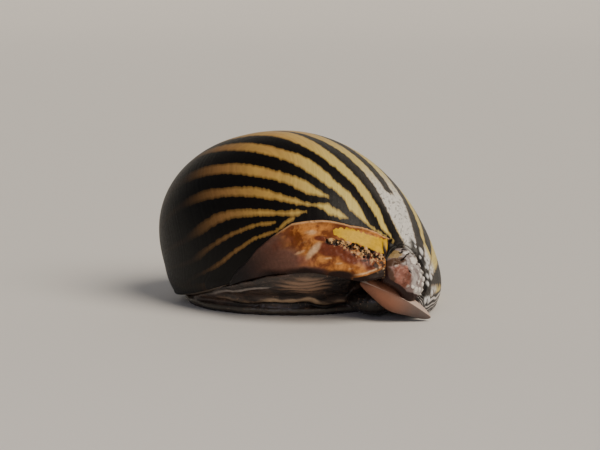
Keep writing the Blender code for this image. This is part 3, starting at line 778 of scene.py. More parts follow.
@dataclass(frozen=True)
class BodyWhorl:
    """The big last whorl, a closed shell with a rounded lip and a hollow under it."""

    form: ShellForm
    disc: SpireDisc
    columns: int = 1040
    rows: int = 330
    lip_thickness: float = 1.2
    lip_radius: float = 0.28
    hollow_depth: float = 1.9
    callus_sink: float = 0.34
    callus_ends: Pair = (0.075, 0.57)
    spire_sink: float = 1.0
    suture_depth: float = 0.14
    suture_at: float = 0.03
    rim_tilts: Pair = (50.0, 150.0)
    lip_steps: tuple[float, ...] = (22.5, 45.0, 67.5, 90.0)
    growth_relief: float = 0.003
    knob_rings: tuple[tuple[float, float, float, float], ...] = (
        (0.55, 17.0, 0.21, 0.10), (1.12, 15.0, 0.25, 0.12),
    )
    knob_angles: Pair = (-62.0, 46.0)
    knob_seed: int = 17
    lip_lines: Line = ((.13, .23), (.42, .52), (.72, .84), (1.08, 1.24))
    knob_fade: Pair = (12.0, 14.0)
    mesh_reach: Pair = (0.95, 1.35)
    bleach_reach: Pair = (2.0, 2.9)
    bleach_angles: Pair = (26.0, 50.0)
    near_bleach: Triple = (0.9, 1.6, 0.8)
    near_angles: Pair = (62.0, 88.0)
    lip_sway: float = 0.05
    lip_softness: float = 0.12
    lip_top: float = 1.5
    lip_x: Pair = (-3.6, -1.4)

    def directions(self, azimuth: Array, tilt: Array) -> Array:
        """Unit directions from an azimuth and a tilt from straight up."""
        return np.stack([np.sin(tilt) * np.cos(azimuth), np.sin(tilt) * np.sin(azimuth), np.cos(tilt)], -1)

    def surface(self, azimuth: Array, tilt: Array, inset: float = 0.0) -> tuple[Array, Array, Array]:
        """Points of the form on rays from the middle, with their turn and along."""
        centre = np.array(HEART)
        rays = self.directions(azimuth, tilt)
        reach = self.form.ray(centre, rays) - inset
        plain = centre + reach[..., None] * rays
        turn, along, _ = self.form.find(plain)
        return to_world(self.form.hung(plain)), turn, along

    def rim_tilt(self, azimuth: Array) -> Array:
        """Tilt at which each column reaches the rounded lip."""
        def is_below(tilt: Array) -> Array:
            """Whether the surface has reached the lip at a tilt."""
            points = self.surface(azimuth, tilt)[0]
            return points[..., 2] <= self.form.rim_height(points) + self.lip_radius

        low, high = np.radians(self.rim_tilts)
        return halved(np.full(azimuth.shape, low), np.full(azimuth.shape, high), is_below)

    def sink(self, points: Array, turn: Array, along: Array) -> Array:
        """How far the surface lies below the form, under the callus and the coil."""
        past_seam = (turn - self.form.seam(along)) * self.form.radius(turn, along)
        low, high = self.callus_ends
        ends = smoothstep(low, low + 0.02, along) * falling(high - 0.07, high, along)
        callus = self.callus_sink * smoothstep(0.0, 0.3, past_seam) * ends
        p, q, height = self.disc.flat(points)
        away = np.hypot(p, q)
        near = smoothstep(-2.0, -1.4, height)
        spire = self.spire_sink * falling(self.disc.radius - 0.35, self.disc.radius - 0.05, away) * near
        groove = self.suture_depth * bell(away - self.disc.radius - self.suture_at, 0.12) * near
        return np.maximum(callus, spire) + groove

    def build(self, pattern: ZebraPattern) -> Object:
        """Mesh the whorl from the top down to the lip and back up inside.

        Args:
            pattern: The stripes, whose values are stored on the vertices.

        Returns:
            The closed piece.
        """
        azimuth = circle(self.columns)
        rim = self.rim_tilt(azimuth)
        share = np.linspace(0.0, 1.0, self.rows + 1)[1:, None]
        tilt = rim[None, :] * share
        around = np.broadcast_to(azimuth, tilt.shape)
        points, turn, along = self.surface(around, tilt)
        values = pattern.values(turn, along)
        middle = to_world(np.array(HEART))
        outward = unit(points - middle)
        growth = self.growth_relief * ripple(values["place"] * (0.12, 1.0, 1.0), 0.35, 3)
        lift, worn = self.nose(points)
        values.update(worn)
        values["pale"] = np.maximum(values["pale"], values.pop("bleach"))
        points = points - outward * (self.sink(points, turn, along) - growth - lift)[..., None]
        outer_edge = points[-1]
        inward = unit((middle - outer_edge) * (1.0, 1.0, 0.0))
        down = np.array([0.0, 0.0, -self.lip_radius])
        lip = []
        for swing in np.radians(self.lip_steps):
            across = inward * self.lip_radius * (1.0 - math.cos(swing))
            lip.append(outer_edge + across + down * math.sin(swing))
        lip.append(lip[-1] + inward * (self.lip_thickness - 2.0 * self.lip_radius))
        lip.append(outer_edge + inward * self.lip_thickness + down * 0.4)
        climb = np.linspace(0.0, self.hollow_depth, 7)[1:, None] / 10.0
        inner_tilt = rim[None, :] - climb
        around = np.broadcast_to(azimuth, inner_tilt.shape)
        inner, _, _ = self.surface(around, inner_tilt, self.lip_thickness + 0.1)
        roof = inner[-1].mean(0) + (0.0, 0.0, 0.3)
        ceiling = [inner[-1] + (roof - inner[-1]) * part for part in (0.3, 0.6, 0.85)]
        rings = np.concatenate([points, np.array(lip), inner, np.array(ceiling)])
        values = padded(values, len(rings) - len(points))
        values["inner"] = np.zeros(rings.shape[:2])
        values["inner"][len(points) + 3:] = 1.0
        top, _, _ = self.surface(azimuth[:1], np.zeros(1))
        return lofted("shell_body_whorl_dressed", rings, top[0], roof, values)

    def nose(self, points: Array) -> tuple[Array, Values]:
        """Relief and colour zones of the worn nose round the coil and of its lined lip."""
        p, q, height = self.disc.flat(points)
        away = np.hypot(p, q) - self.disc.radius
        angle = np.degrees(np.arctan2(q, p))
        low, high = self.knob_angles
        before, after = self.knob_fade
        window = smoothstep(low - before, low, angle) * falling(high, high + after, angle)
        window = window * smoothstep(-3.4, -2.4, height)
        draw = np.random.default_rng(self.knob_seed)
        knobs = np.zeros(away.shape)
        flat = np.stack([p, q], -1)
        for distance, spacing, radius, size in self.knob_rings:
            angles = np.arange(low, high, spacing)
            angles = np.radians(angles + draw.uniform(-0.4, 0.4, len(angles)) * spacing)
            reach = self.disc.radius + distance + draw.uniform(-0.2, 0.2, len(angles))
            centres = np.stack([reach * np.cos(angles), reach * np.sin(angles)], -1)
            sizes = radius * draw.uniform(0.55, 1.3, len(angles))
            knobs = np.maximum(knobs, bumps(flat, centres, sizes, np.full(len(angles), size)))
        tall = max(size for _, _, _, size in self.knob_rings)
        knobs = knobs * window
        mesh = smoothstep(-0.1, 0.02, away) * falling(*self.mesh_reach, away) * window
        suture = bell(away - self.suture_at, 0.09) * smoothstep(-2.6, -1.8, height)
        rise = points[..., 2] - self.form.rim_height(points)
        lines = np.full(rise.shape, -0.2)
        sway = self.lip_sway * ripple(points, 1.6, 18)
        for bottom, top in self.lip_lines:
            lines = np.maximum(lines, np.minimum(rise + sway - bottom, top - rise - sway))
        front = smoothstep(*self.lip_x, to_shell(points)[..., 0])
        lip = front * falling(self.lip_top - self.lip_softness, self.lip_top, rise)
        bleach = falling(*self.bleach_reach, away) * falling(*self.bleach_angles, angle)
        *near_reach, near_share = self.near_bleach
        near = near_share * falling(*near_reach, away) * falling(*self.near_angles, angle)
        bleach = np.maximum(bleach, near)
        return knobs, {
            "bleach": bleach * smoothstep(-4.0, -3.0, height),
            "knobs": np.clip(knobs / tall * 1.6, 0.0, 1.0),
            "mesh": np.clip(np.maximum(mesh * 0.9, suture), 0.0, 1.0),
            "lip_line": lines,
            "lip_zone": lip,
        }


@dataclass(frozen=True)
class Blotch:
    """One soft-edged spot of a colour zone, in millimetres round a place of the shell."""

    zone: str
    along: float
    turn: float
    half_long: float
    half_wide: float
    tilt: float = 0.0
    strength: float = 1.0
    lift: float = 0.0


@dataclass(frozen=True)
class Callus:
    """The glazed and worn shelf behind the seam, a thin closed slab over the whorl."""

    form: ShellForm
    disc: SpireDisc
    stations: int = 430
    rows: int = 250
    inner_rows: int = 16
    left_end: float = 0.545
    right_end: Pair = (0.100, 0.036)
    thickness: float = 0.26
    proud: float = 0.10
    margin_lift: float = 0.09
    margin_at: float = 0.22
    margin_width: float = 0.16
    edge_depth: float = 0.16
    left_ease: float = 0.35
    left_sink: float = 0.06
    lift_limits: Pair = (-0.16, 0.12)
    lip_bulge: float = 0.14
    last_turn: float = 250.0
    least_turn: float = 0.03
    edge_width: float = 0.22
    pit_seed: int = 5
    pit_count: int = 95
    pit_radii: Pair = (0.06, 0.17)
    pit_depths: Pair = (0.05, 0.13)
    raised_share: float = 0.30
    band_reach: Line = ((.12, 1.9), (.20, 1.3), (.26, .6), (.30, .3))
    band_start: Pair = (.118, .13)
    band_end: Pair = (.27, .30)
    crescent: Pair = (0.8, 0.10)
    pale_margin: Pair = (0.12, 0.15)
    pale_margin_end: Pair = (0.36, 0.46)
    # Where along the axis the left end's painted shade starts and is full
    painted_shade_fade_along: Pair = (0.37, 0.52)
    gloss_along: Pair = (0.34, 0.42)
    stretch: float = 27.0
    low_edge: Line = (
        (.10, -.30), (.14, -.45), (.18, -.55), (.22, -.6), (.26, -.35), (.33, -.05), (.42, 0.0), (.60, 0.0),
    )
    pit_line: Line = (
        (.130, 141.0), (.150, 142.5), (.175, 143.0), (.200, 143.5), (.225, 143.5), (.250, 145.0),
        (.280, 146.0),
    )
    rim_line: Line = (
        (.135, 151.0), (.150, 156.0), (.170, 160.0), (.195, 164.0), (.220, 166.5), (.245, 168.0),
    )
    gold_patch: Stripe = Stripe((
        (.108, 121.5, 123), (.113, 122, 131), (.12, 124.8, 137.5), (.14, 128.4, 140.5), (.16, 130.8, 141.5),
        (.18, 132.2, 142), (.22, 134.6, 142.5), (.24, 136.4, 142.3), (.258, 139, 141.5),
    ))
    beads: tuple[float, ...] = (.122, .131, .143, .152, .168, .181, .205, .228, .262, .300, .312)
    blotches: tuple[Blotch, ...] = (
        Blotch("cream", .275, 135.6, 1.2, .10, .42, .75, .02),
        Blotch("cream", .315, 144.0, .60, .20, .35, .65, .03),
        Blotch("cream", .318, 154.0, 1.00, .26, .85, 1.0, .07),
        Blotch("cream", .355, 156.5, .65, .13, .5, .65, .03),
        Blotch("cream", .340, 150.5, .5, .12, .5, .45, .02),
        Blotch("cream", .255, 147.0, .30, .13, .2, .8, .05),
        Blotch("cream", .236, 146.0, .22, .13, .3, .8, .05),
        Blotch("cream", .205, 149.5, .30, .14, .5, .7, .05),
        Blotch("cream", .180, 148.5, .25, .14, .5, .7, .05),
        Blotch("cream", .285, 157.5, .45, .10, .3, .6, .03),
        Blotch("cream", .262, 160.0, .40, .10, .3, .6, .03),
        Blotch("cream", .235, 162.5, .35, .10, .3, .55, .03),
        Blotch("rust", .270, 151.0, 1.3, .55, .3, 1.3),
        Blotch("rust", .232, 154.0, .9, .60, .2, 1.0),
        Blotch("rust", .165, 147.5, .8, .45, .5, 1.2),
        Blotch("rust", .175, 158.0, .8, .40, .5, .8),
        Blotch("rust", .290, 146.0, .7, .22, .2, 1.0),
        Blotch("rust", .400, 153.5, 1.1, .5, .6, .45),
        Blotch("rust", .225, 133.6, 1.3, .14, .35, .7),
        Blotch("rose", .190, 154.0, .60, .40, .5, .9),
        Blotch("rose", .345, 161.0, .9, .5, .3, .6),
        Blotch("rose", .372, 150.0, .6, .4, .5, .5),
        Blotch("mauve", .480, 160.0, 3.0, 2.0, .7, 1.5),
        Blotch("mauve", .405, 163.0, 1.7, 1.2, .4, 1.2),
        Blotch("mauve", .360, 169.0, 1.6, .7, .1, 1.1),
        Blotch("mauve", .560, 174.0, 2.4, 2.6, .4, 1.6),
        Blotch("umber", .118, 146.0, .22, 1.5, .1, 1.2, -.10),
        Blotch("umber", .104, 128.0, .20, 1.3, .1, 1.0, -.06),
        Blotch("umber", .345, 168.5, 2.0, .45, .1, 1.0),
        Blotch("umber", .270, 168.5, 1.4, .45, .1, 1.1),
        Blotch("umber", .420, 174.0, 1.6, .8, .1, 1.0),
    )

    def grid(self) -> tuple[Array, Array]:
        """Turn and along of the outer face."""
        share = np.linspace(0.0, 1.0, self.stations)[:, None]
        across = np.linspace(0.0, 1.0, self.rows)[None, :]
        start, slant = self.right_end
        along = start + slant * across + (self.left_end - start - slant * across) * share
        last = along[:, -1]
        delta = np.interp(last, *zip(*self.low_edge))

        def is_below(turn: Array) -> Array:
            """Whether the slab has reached its low edge at a turn."""
            points = to_world(self.form.point(turn, last))
            return points[..., 2] <= self.form.rim_height(points) + delta

        low = halved(self.form.seam(last), np.full(last.shape, math.radians(self.last_turn)), is_below)
        seam = self.form.seam(along)
        return seam + across * (np.maximum(low[:, None], seam + self.least_turn) - seam), along

    def zones(self, turn: Array, along: Array) -> tuple[Values, Array]:
        """Weight of each colour zone and the relief that goes with it."""
        names = ("gold", "cream", "rust", "rose", "mauve", "umber")
        weights = {name: np.zeros(turn.shape) for name in names}
        relief = np.zeros(turn.shape)
        radius = self.form.radius(turn, along)
        for spot in self.blotches:
            x = (along - spot.along) * self.stretch
            y = (turn - math.radians(spot.turn)) * radius
            u = x * math.cos(spot.tilt) + y * math.sin(spot.tilt)
            v = -x * math.sin(spot.tilt) + y * math.cos(spot.tilt)
            weight = blob(u, v, spot.half_long, spot.half_wide)
            weights[spot.zone] = np.maximum(weights[spot.zone], spot.strength * weight)
            relief += spot.lift * weight
        flat = np.stack([along * self.stretch, turn * radius], -1)
        degrees = np.degrees(turn) + 0.5 * ripple(flat, 0.5, 24)
        per_degree = radius * math.radians(1.0)
        depth = self.gold_patch.depth(along, degrees, per_degree, self.stretch)
        weights["gold"] = smoothstep(-0.10, 0.12, depth)
        drop = (np.degrees(turn) - np.interp(along, *zip(*self.pit_line))) * per_degree
        reach = np.interp(along, *zip(*self.band_reach))
        band = smoothstep(-0.25, 0.0, drop) * falling(0.6, 1.0, drop / reach)
        weights["band"] = band * falling(*self.band_end, along) * smoothstep(*self.band_start, along)
        return weights, relief

    def pits(self) -> tuple[Array, Array, Array, Array]:
        """Seeded places, radii, depths and lightness of the worn pits."""
        draw = np.random.default_rng(self.pit_seed)
        alongs, turns = (np.array(part) for part in zip(*self.pit_line))
        along = draw.uniform(alongs[0], alongs[-1], self.pit_count)
        drop = np.abs(draw.normal(0.0, 1.0, self.pit_count))
        spread = np.where(along < 0.22, 3.4, 1.2)
        turn = np.radians(np.interp(along, alongs, turns) + drop * spread)
        radius = draw.uniform(*self.pit_radii, self.pit_count)
        depth = draw.uniform(*self.pit_depths, self.pit_count)
        raised = draw.random(self.pit_count) < self.raised_share
        depth = np.where(raised, -depth * 0.8, depth)
        beads = np.array(self.beads)
        along, turn = np.append(along, beads), np.append(turn, self.form.seam(beads) + 0.016)
        radius = np.append(radius, draw.uniform(0.07, 0.11, len(beads)))
        depth = np.append(depth, np.full(len(beads), -0.05))
        raised = np.append(raised, np.ones(len(beads), bool))
        return to_world(self.form.point(turn, along)), radius, -depth, raised

    def build(self) -> Object:
        """Mesh the slab as loops across it, from its right end to its left end."""
        turn, along = self.grid()
        base = to_world(self.form.point(turn, along))
        by_row, by_station = np.gradient(base, axis=1), np.gradient(base, axis=0)
        normal = unit(np.cross(by_row, by_station))
        middle = to_world(np.array(HEART))
        normal *= np.sign((normal * (base - middle)).sum(-1, keepdims=True))
        zones, relief = self.zones(turn, along)
        step = np.linalg.norm(np.diff(base, axis=1), axis=-1)
        from_seam = np.concatenate([np.zeros((len(base), 1)), np.cumsum(step, axis=1)], axis=1)
        stride = np.linalg.norm(np.diff(base, axis=0), axis=-1)
        from_right = np.concatenate([np.zeros((1, base.shape[1])), np.cumsum(stride, axis=0)], axis=0)
        from_left = from_right[-1:] - from_right
        edge = np.minimum(from_seam, np.minimum(from_right, from_left * self.left_ease))
        rounded = quarter_round(edge / self.edge_width)
        lift = (self.proud + self.edge_depth) * rounded - self.edge_depth
        margin = bell(from_seam - self.margin_at, self.margin_width) * smoothstep(0.0, 0.5, from_right)
        lift += self.margin_lift * margin
        lift += relief
        centres, radii, heights, raised = self.pits()
        pit = bumps(base, centres, radii, heights)
        lift += np.clip(pit, *self.lift_limits)
        rough = np.clip(zones["rust"] + zones["rose"] + 0.6 * zones["cream"], 0.0, 1.0)
        rough *= 1.0 - np.clip(1.6 * zones["gold"], 0.0, 1.0)
        lift += (0.002 + 0.022 * rough) * ripple(base, 0.5, 21) * rounded
        lift += 0.03 * ripple(base * (0.6, 0.6, 1.0), 1.5, 22) * rounded
        lift -= self.left_sink * smoothstep(0.44, 0.54, along)
        outer = base + normal * lift[..., None]
        inner = base - normal * self.thickness
        picks = np.linspace(self.rows - 1, 0, self.inner_rows).astype(int)
        lowest = outer[:, -1]
        across_lip = inner[:, -1] - lowest
        onward = unit(base[:, -1] - base[:, -4])
        lip = [lowest + across_lip * (0.5 - 0.5 * math.cos(swing)) + onward * self.lip_bulge * math.sin(swing)
               for swing in np.radians([30.0, 60.0, 90.0, 120.0, 150.0])]
        loops = np.concatenate([outer, np.stack(lip, axis=1), inner[:, picks]], axis=1)
        flecks = bumps(base, centres[raised], radii[raised] * 0.9, np.ones(int(raised.sum())))
        values = self.values(turn, along, from_seam, zones, pit, flecks)
        values = padded(values, loops.shape[1] - turn.shape[1], 1)
        return lofted("shell_callus_dressed", loops, loops[0].mean(0), loops[-1].mean(0), values)

    def values(self, turn: Array, along: Array, from_seam: Array, zones: Values, pit: Array,
               flecks: Array) -> Values:
        """Collect everything that the finish reads from the callus.

        Args:
            turn: Turn angles in radians.
            along: Places along the axis.
            from_seam: Millimetres from the seam.
            zones: Weights of the colour zones.
            pit: Height of the worn pits and bosses.
            flecks: Weight of the pale flecks on the bosses.

        Returns:
            The named values.
        """
        crest = np.interp(along, *zip(*self.rim_line))
        off_crest = (np.degrees(turn) - crest) * self.form.radius(turn, along) * math.radians(1.0)
        span = smoothstep(.13, .15, along) * falling(.225, .25, along)
        strength, half_width = self.crescent
        crescent = strength * bell(off_crest, half_width) * span
        margin_at, margin_width = self.pale_margin
        # Past the crest the callus is painted umber, as painted shadow of the gap under it
        below = smoothstep(0.08, 0.24, off_crest) * smoothstep(.10, .13, along) * falling(.25, .30, along)
        return {
            **zones,
            "cream": np.clip(np.maximum(zones["cream"], crescent), 0.0, 1.0),
            "umber": np.clip(np.maximum(zones["umber"], below), 0.0, 1.0),
            "pit": np.clip(-pit / 0.07, 0.0, 1.0),
            "fleck": np.clip(flecks, 0.0, 1.0),
            "margin": bell(from_seam - margin_at, margin_width) * falling(*self.pale_margin_end, along),
            # The left end is darkened towards black by painted shade
            "fade": smoothstep(*self.painted_shade_fade_along, along),
            "gloss": smoothstep(*self.gloss_along, along),
        }


@dataclass(frozen=True)
class WornCoil:
    """The low spire at the apex, eaten away to chalky bosses and pits."""

    form: ShellForm
    disc: SpireDisc
    rings: int = 120
    columns: int = 330
    depth: float = 0.9
    growth: float = 2.6
    whorl_relief: float = 0.10
    whorl_roundness: float = 0.7
    rim_gap: float = -0.62
    edge_fall: float = 0.50
    pustule_height: float = 0.13
    pustules: tuple[Triple, ...] = (
        (.80, -.47, .21), (1.50, -.77, .22), (.43, -1.50, .20), (1.78, -1.70, .18), (2.00, -1.05, .15),
        (-.07, -1.43, .18), (1.10, -1.15, .18), (.30, -.95, .16), (1.25, -1.65, .17), (.75, -1.92, .15),
        (1.75, -.25, .15), (1.20, -.15, .15), (.60, .02, .12), (1.45, .38, .13), (1.88, .30, .11),
        (-.55, -1.15, .15), (-1.25, -.55, .17), (-1.45, .72, .22), (-1.25, .12, .22), (-.80, .45, .16),
        (-.72, -.22, .18), (-.30, .20, .14), (1.15, .80, .14), (1.55, .95, .12), (-1.05, -.95, .14),
    )
    lobes: tuple[tuple[float, float, float, float, float], ...] = (
        (.55, .80, .50, .32, .14), (.20, 1.54, .42, .15, .13), (-.85, 1.62, .40, .22, .12),
        (.95, 1.62, .25, .13, .08),
    )
    clefts: tuple[tuple[float, float, float, float], ...] = (
        (-.55, 1.62, .10, 1.82), (.10, 1.82, .95, 1.92), (-.75, 1.10, .0, 1.27), (.0, 1.27, .95, 1.42),
        (-1.15, 2.00, -.60, 1.95), (-.35, .98, -.62, .55), (-.62, .55, -.45, -.05), (.72, .95, .95, .45),
    )
    # Upper border of the painted shadow low on the coil beside the lid
    painted_shadow_line: Line = (
        (-2.3, -.1), (-2.1, -.35), (-1.45, -1.05), (-1.0, -1.5), (-.4, -1.8), (.3, -2.0), (1.3, -2.15),
    )
    rosy_spot: tuple[float, ...] = (-1.35, -0.15, 0.95, 1.05, 1.3)
    brown_spot: tuple[float, ...] = (-1.3, 1.08, 1.0, 0.30, 1.5)
    tan_spot: tuple[float, ...] = (-0.9, 1.68, 0.70, 0.34, 2.0)
    cleft_width: float = 0.052
    cleft_depth: float = 0.17
    rough_relief: float = 0.03
    fine_relief: float = 0.012
    edge_round: float = 0.35
    edge_smoothing: int = 9

    def outline(self, angle: Array) -> Array:
        """Distance from the middle to the coil's edge, where the rim cuts it off low down."""
        def is_cut(away: Array) -> Array:
            """Whether the rim cuts the coil off at a distance from its middle."""
            height = self.disc.dome(away / self.disc.radius)
            points = self.disc.place(away * np.cos(angle), away * np.sin(angle), height)
            return points[..., 2] <= self.form.rim_height(points) + self.rim_gap

        made = halved(np.zeros(angle.shape), np.full(angle.shape, self.disc.radius), is_cut)
        kernel = np.hanning(2 * self.edge_smoothing + 1)
        wide = np.concatenate([made[-self.edge_smoothing:], made, made[:self.edge_smoothing]])
        return np.convolve(wide, kernel / kernel.sum(), mode="valid")

    def lines(self, flat: Array) -> Array:
        """Weight of the dark clefts at flat places, from 0 to 1."""
        made = np.zeros(flat.shape[:-1])
        flat = flat + 0.07 * np.stack([ripple(flat, 0.7, 33), ripple(flat, 0.7, 34)], -1)
        for start_p, start_q, end_p, end_q in self.clefts:
            start, step = np.array((start_p, start_q)), np.array((end_p - start_p, end_q - start_q))
            share = np.clip(((flat - start) @ step) / (step @ step), 0.0, 1.0)
            away = np.linalg.norm(flat - start - share[..., None] * step, axis=-1)
            made = np.maximum(made, bell(away, self.cleft_width))
        return made

    def knobs(self, flat: Array) -> tuple[Array, Array]:
        """Height and whiteness of the chalky bosses and lobes at flat places."""
        centres = np.array([spot[:2] for spot in self.pustules])
        radii = np.array([spot[2] for spot in self.pustules])
        boss = bumps(flat, centres, radii, self.pustule_height * radii / radii.mean())
        lobe = np.zeros(boss.shape)
        for p, q, half_p, half_q, height in self.lobes:
            lobe += height * blob(flat[..., 0] - p, flat[..., 1] - q, half_p, half_q)
        return boss + lobe, np.clip((boss + lobe) / self.pustule_height * 1.3 - 0.15, 0.0, 1.0)

    def build(self) -> Object:
        """Mesh the coil as rings round its middle, closed underneath."""
        angle = circle(self.columns)
        outline = self.outline(angle)
        share = np.linspace(0.0, 1.0, self.rings + 1)[1:, None]
        away = share * outline[None, :]
        p, q = away * np.cos(angle), away * np.sin(angle)
        part = away / self.disc.radius
        phase = np.log(np.maximum(part, 0.02)) / math.log(self.growth) + angle / (2.0 * math.pi)
        whorl = np.abs(np.sin(math.pi * phase)) ** self.whorl_roundness - 0.6
        coil = self.whorl_relief * whorl * (1.0 - part ** 4) * smoothstep(0.1, 0.4, part)
        height = self.disc.dome(part) + coil
        flat = np.stack([p, q], -1)
        boss, white = self.knobs(flat)
        cleft = self.lines(flat)
        noise = self.rough_relief * ripple(flat, 0.55, 31) + self.fine_relief * ripple(flat, 0.22, 32)
        relief = boss - self.cleft_depth * cleft + noise
        edge = (1.0 - share) * outline[None, :]
        fall = 1.0 - quarter_round(edge / self.edge_round)
        height = height + relief * smoothstep(0.0, 0.25, edge) - self.edge_fall * fall
        top = self.disc.place(p, q, height)
        under_share = np.array([0.97, 0.8, 0.5, 0.2])[:, None]
        under_p, under_q = under_share * p[-1], under_share * q[-1]
        under_height = np.minimum(height[-1] - 0.25, self.disc.dome(under_share * part[-1]) - self.depth)
        under = self.disc.place(under_p, under_q, under_height)
        rings = np.concatenate([top, under])
        values = padded(self.values(p, q, white, cleft, edge), len(under))
        tip = self.disc.place(np.zeros(1), np.zeros(1), height[0].mean(keepdims=True))[0]
        bottom = self.disc.place(np.zeros(1), np.zeros(1), np.array([self.disc.dome(0.0) - self.depth]))[0]
        return lofted("shell_spire_dressed", rings, tip, bottom, values)

    def values(self, p: Array, q: Array, white: Array, cleft: Array, edge: Array) -> Values:
        """Everything that the finish reads from the coil."""
        rosy, brown, tan = (blob(p - middle_p, q - middle_q, *shape) for middle_p, middle_q, *shape
                            in (self.rosy_spot, self.brown_spot, self.tan_spot))
        # Past p of about -1.9 the coil is painted brown as painted shadow beside the callus
        brown = np.maximum(brown, falling(-2.15, -1.75, p))
        mesh = smoothstep(1.25, 1.75, p - 0.15 * q) * falling(0.9, 1.3, q)
        # A crescent low on the coil beside the lid is painted dark, as painted shadow
        painted_shadow = falling(-0.05, 0.30, q - np.interp(p, *zip(*self.painted_shadow_line)))
        return {
            "grey": smoothstep(-1.15, -0.3, p + 0.25 * q),
            "rosy": rosy,
            "brown": brown,
            "tan": tan,
            "white": white,
            "mesh": np.clip(mesh * (1.0 - white), 0.0, 1.0),
            "painted_shadow": np.clip(painted_shadow, 0.0, 1.0),
            "pit": cleft,
            "edge": falling(0.0, 0.14, edge),
        }


@dataclass(frozen=True)
class Lid:
    """The operculum, a horny and limy leaf with growth arcs and a pale margin."""

    high: Triple = (-3.7, -3.2, 3.2)
    low: Triple = (0.75, 0.3, 0.45)
    width: float = 2.2
    lower_share: float = 0.7
    side: Triple = (-0.10, -0.60, -0.79)
    thickness: float = 0.6
    doming: float = 0.35
    point: float = 0.25
    rings: int = 90
    columns: int = 240
    arc_spacing: float = 0.24
    arc_relief: float = 0.0025
    nucleus: Triple = (0.30, 0.1, 1.7)
    edge_thickness: float = 0.25
    rim_widths: Pair = (0.02, 0.40)
    low_drop: float = 0.22
    upper_pinch: float = 0.28
    lower_belly: float = 0.42

    def build(self) -> Object:
        """Mesh the leaf as rings round its middle, outer face first."""
        high, low = np.array(self.high), np.array(self.low)
        along = low - high
        length = float(np.linalg.norm(along))
        along = along / length
        side = np.array(self.side)
        side = unit(side - (side @ along) * along)
        outward = np.cross(side, along)
        middle = 0.5 * (high + low)
        angle = circle(self.columns)
        long_part = np.cos(angle)
        wide = np.sin(angle) * np.where(np.sin(angle) > 0.0, self.lower_share, 1.0)
        wide = wide * (1.0 - self.point * long_part ** 2)
        pinch = smoothstep(-0.4, 0.6, long_part) * self.upper_pinch
        belly = self.lower_belly * bell(long_part + 0.05, 0.5)
        wide = np.where(wide < 0.0, wide * (1.0 - pinch), wide * (1.0 + belly))

        thin, (share_long, aside, squeeze) = self.edge_thickness, self.nucleus

        def face(share: Array, sign: float) -> tuple[Array, Array]:
            """Points and long coordinate of the outer face, or of the inner one for a sign of -1."""
            u = share * long_part * 0.5 * length
            v = share * wide * 0.5 * self.width
            v = v + self.low_drop * smoothstep(0.1, 1.0, share * long_part)
            dome = self.doming * (1.0 - share ** 2.2)
            round_edge = np.sqrt(np.clip(1.0 - share ** 8, 0.0, 1.0))
            height = dome + sign * 0.5 * self.thickness * (thin + (1.0 - thin) * round_edge)
            away = np.hypot(u - share_long * length, (v - aside) * squeeze)
            arcs = self.arc_relief * np.sin(2.0 * math.pi * away / self.arc_spacing) * round_edge
            height = height + sign * arcs
            points = middle + u[..., None] * along + v[..., None] * side + height[..., None] * outward
            return to_world(points), u

        share = np.linspace(0.0, 1.0, self.rings + 1)[1:, None]
        top, top_u = face(share, 1.0)
        back, back_u = face(np.array([0.985, 0.9, 0.7, 0.45, 0.2])[:, None], -1.0)
        rings = np.concatenate([top, back])
        from_edge = (1.0 - share) * np.abs(wide) * 0.5 * self.width
        from_edge = np.where(wide < 0.0, from_edge, 1.0)
        narrow, added = self.rim_widths
        rim_width = narrow + added * smoothstep(0.3, 1.0, long_part)
        rim = falling(0.6, 1.2, from_edge / rim_width)
        rim = np.concatenate([rim, np.zeros(back_u.shape)])
        values = {"lid_long": 0.5 + np.concatenate([top_u, back_u]) / length, "lid_rim": rim}
        tip, bottom = (face(np.zeros((1, 1)), sign)[0][0, 0] for sign in (1.0, -1.0))
        return lofted("operculum_dressed", rings, tip, bottom, values)


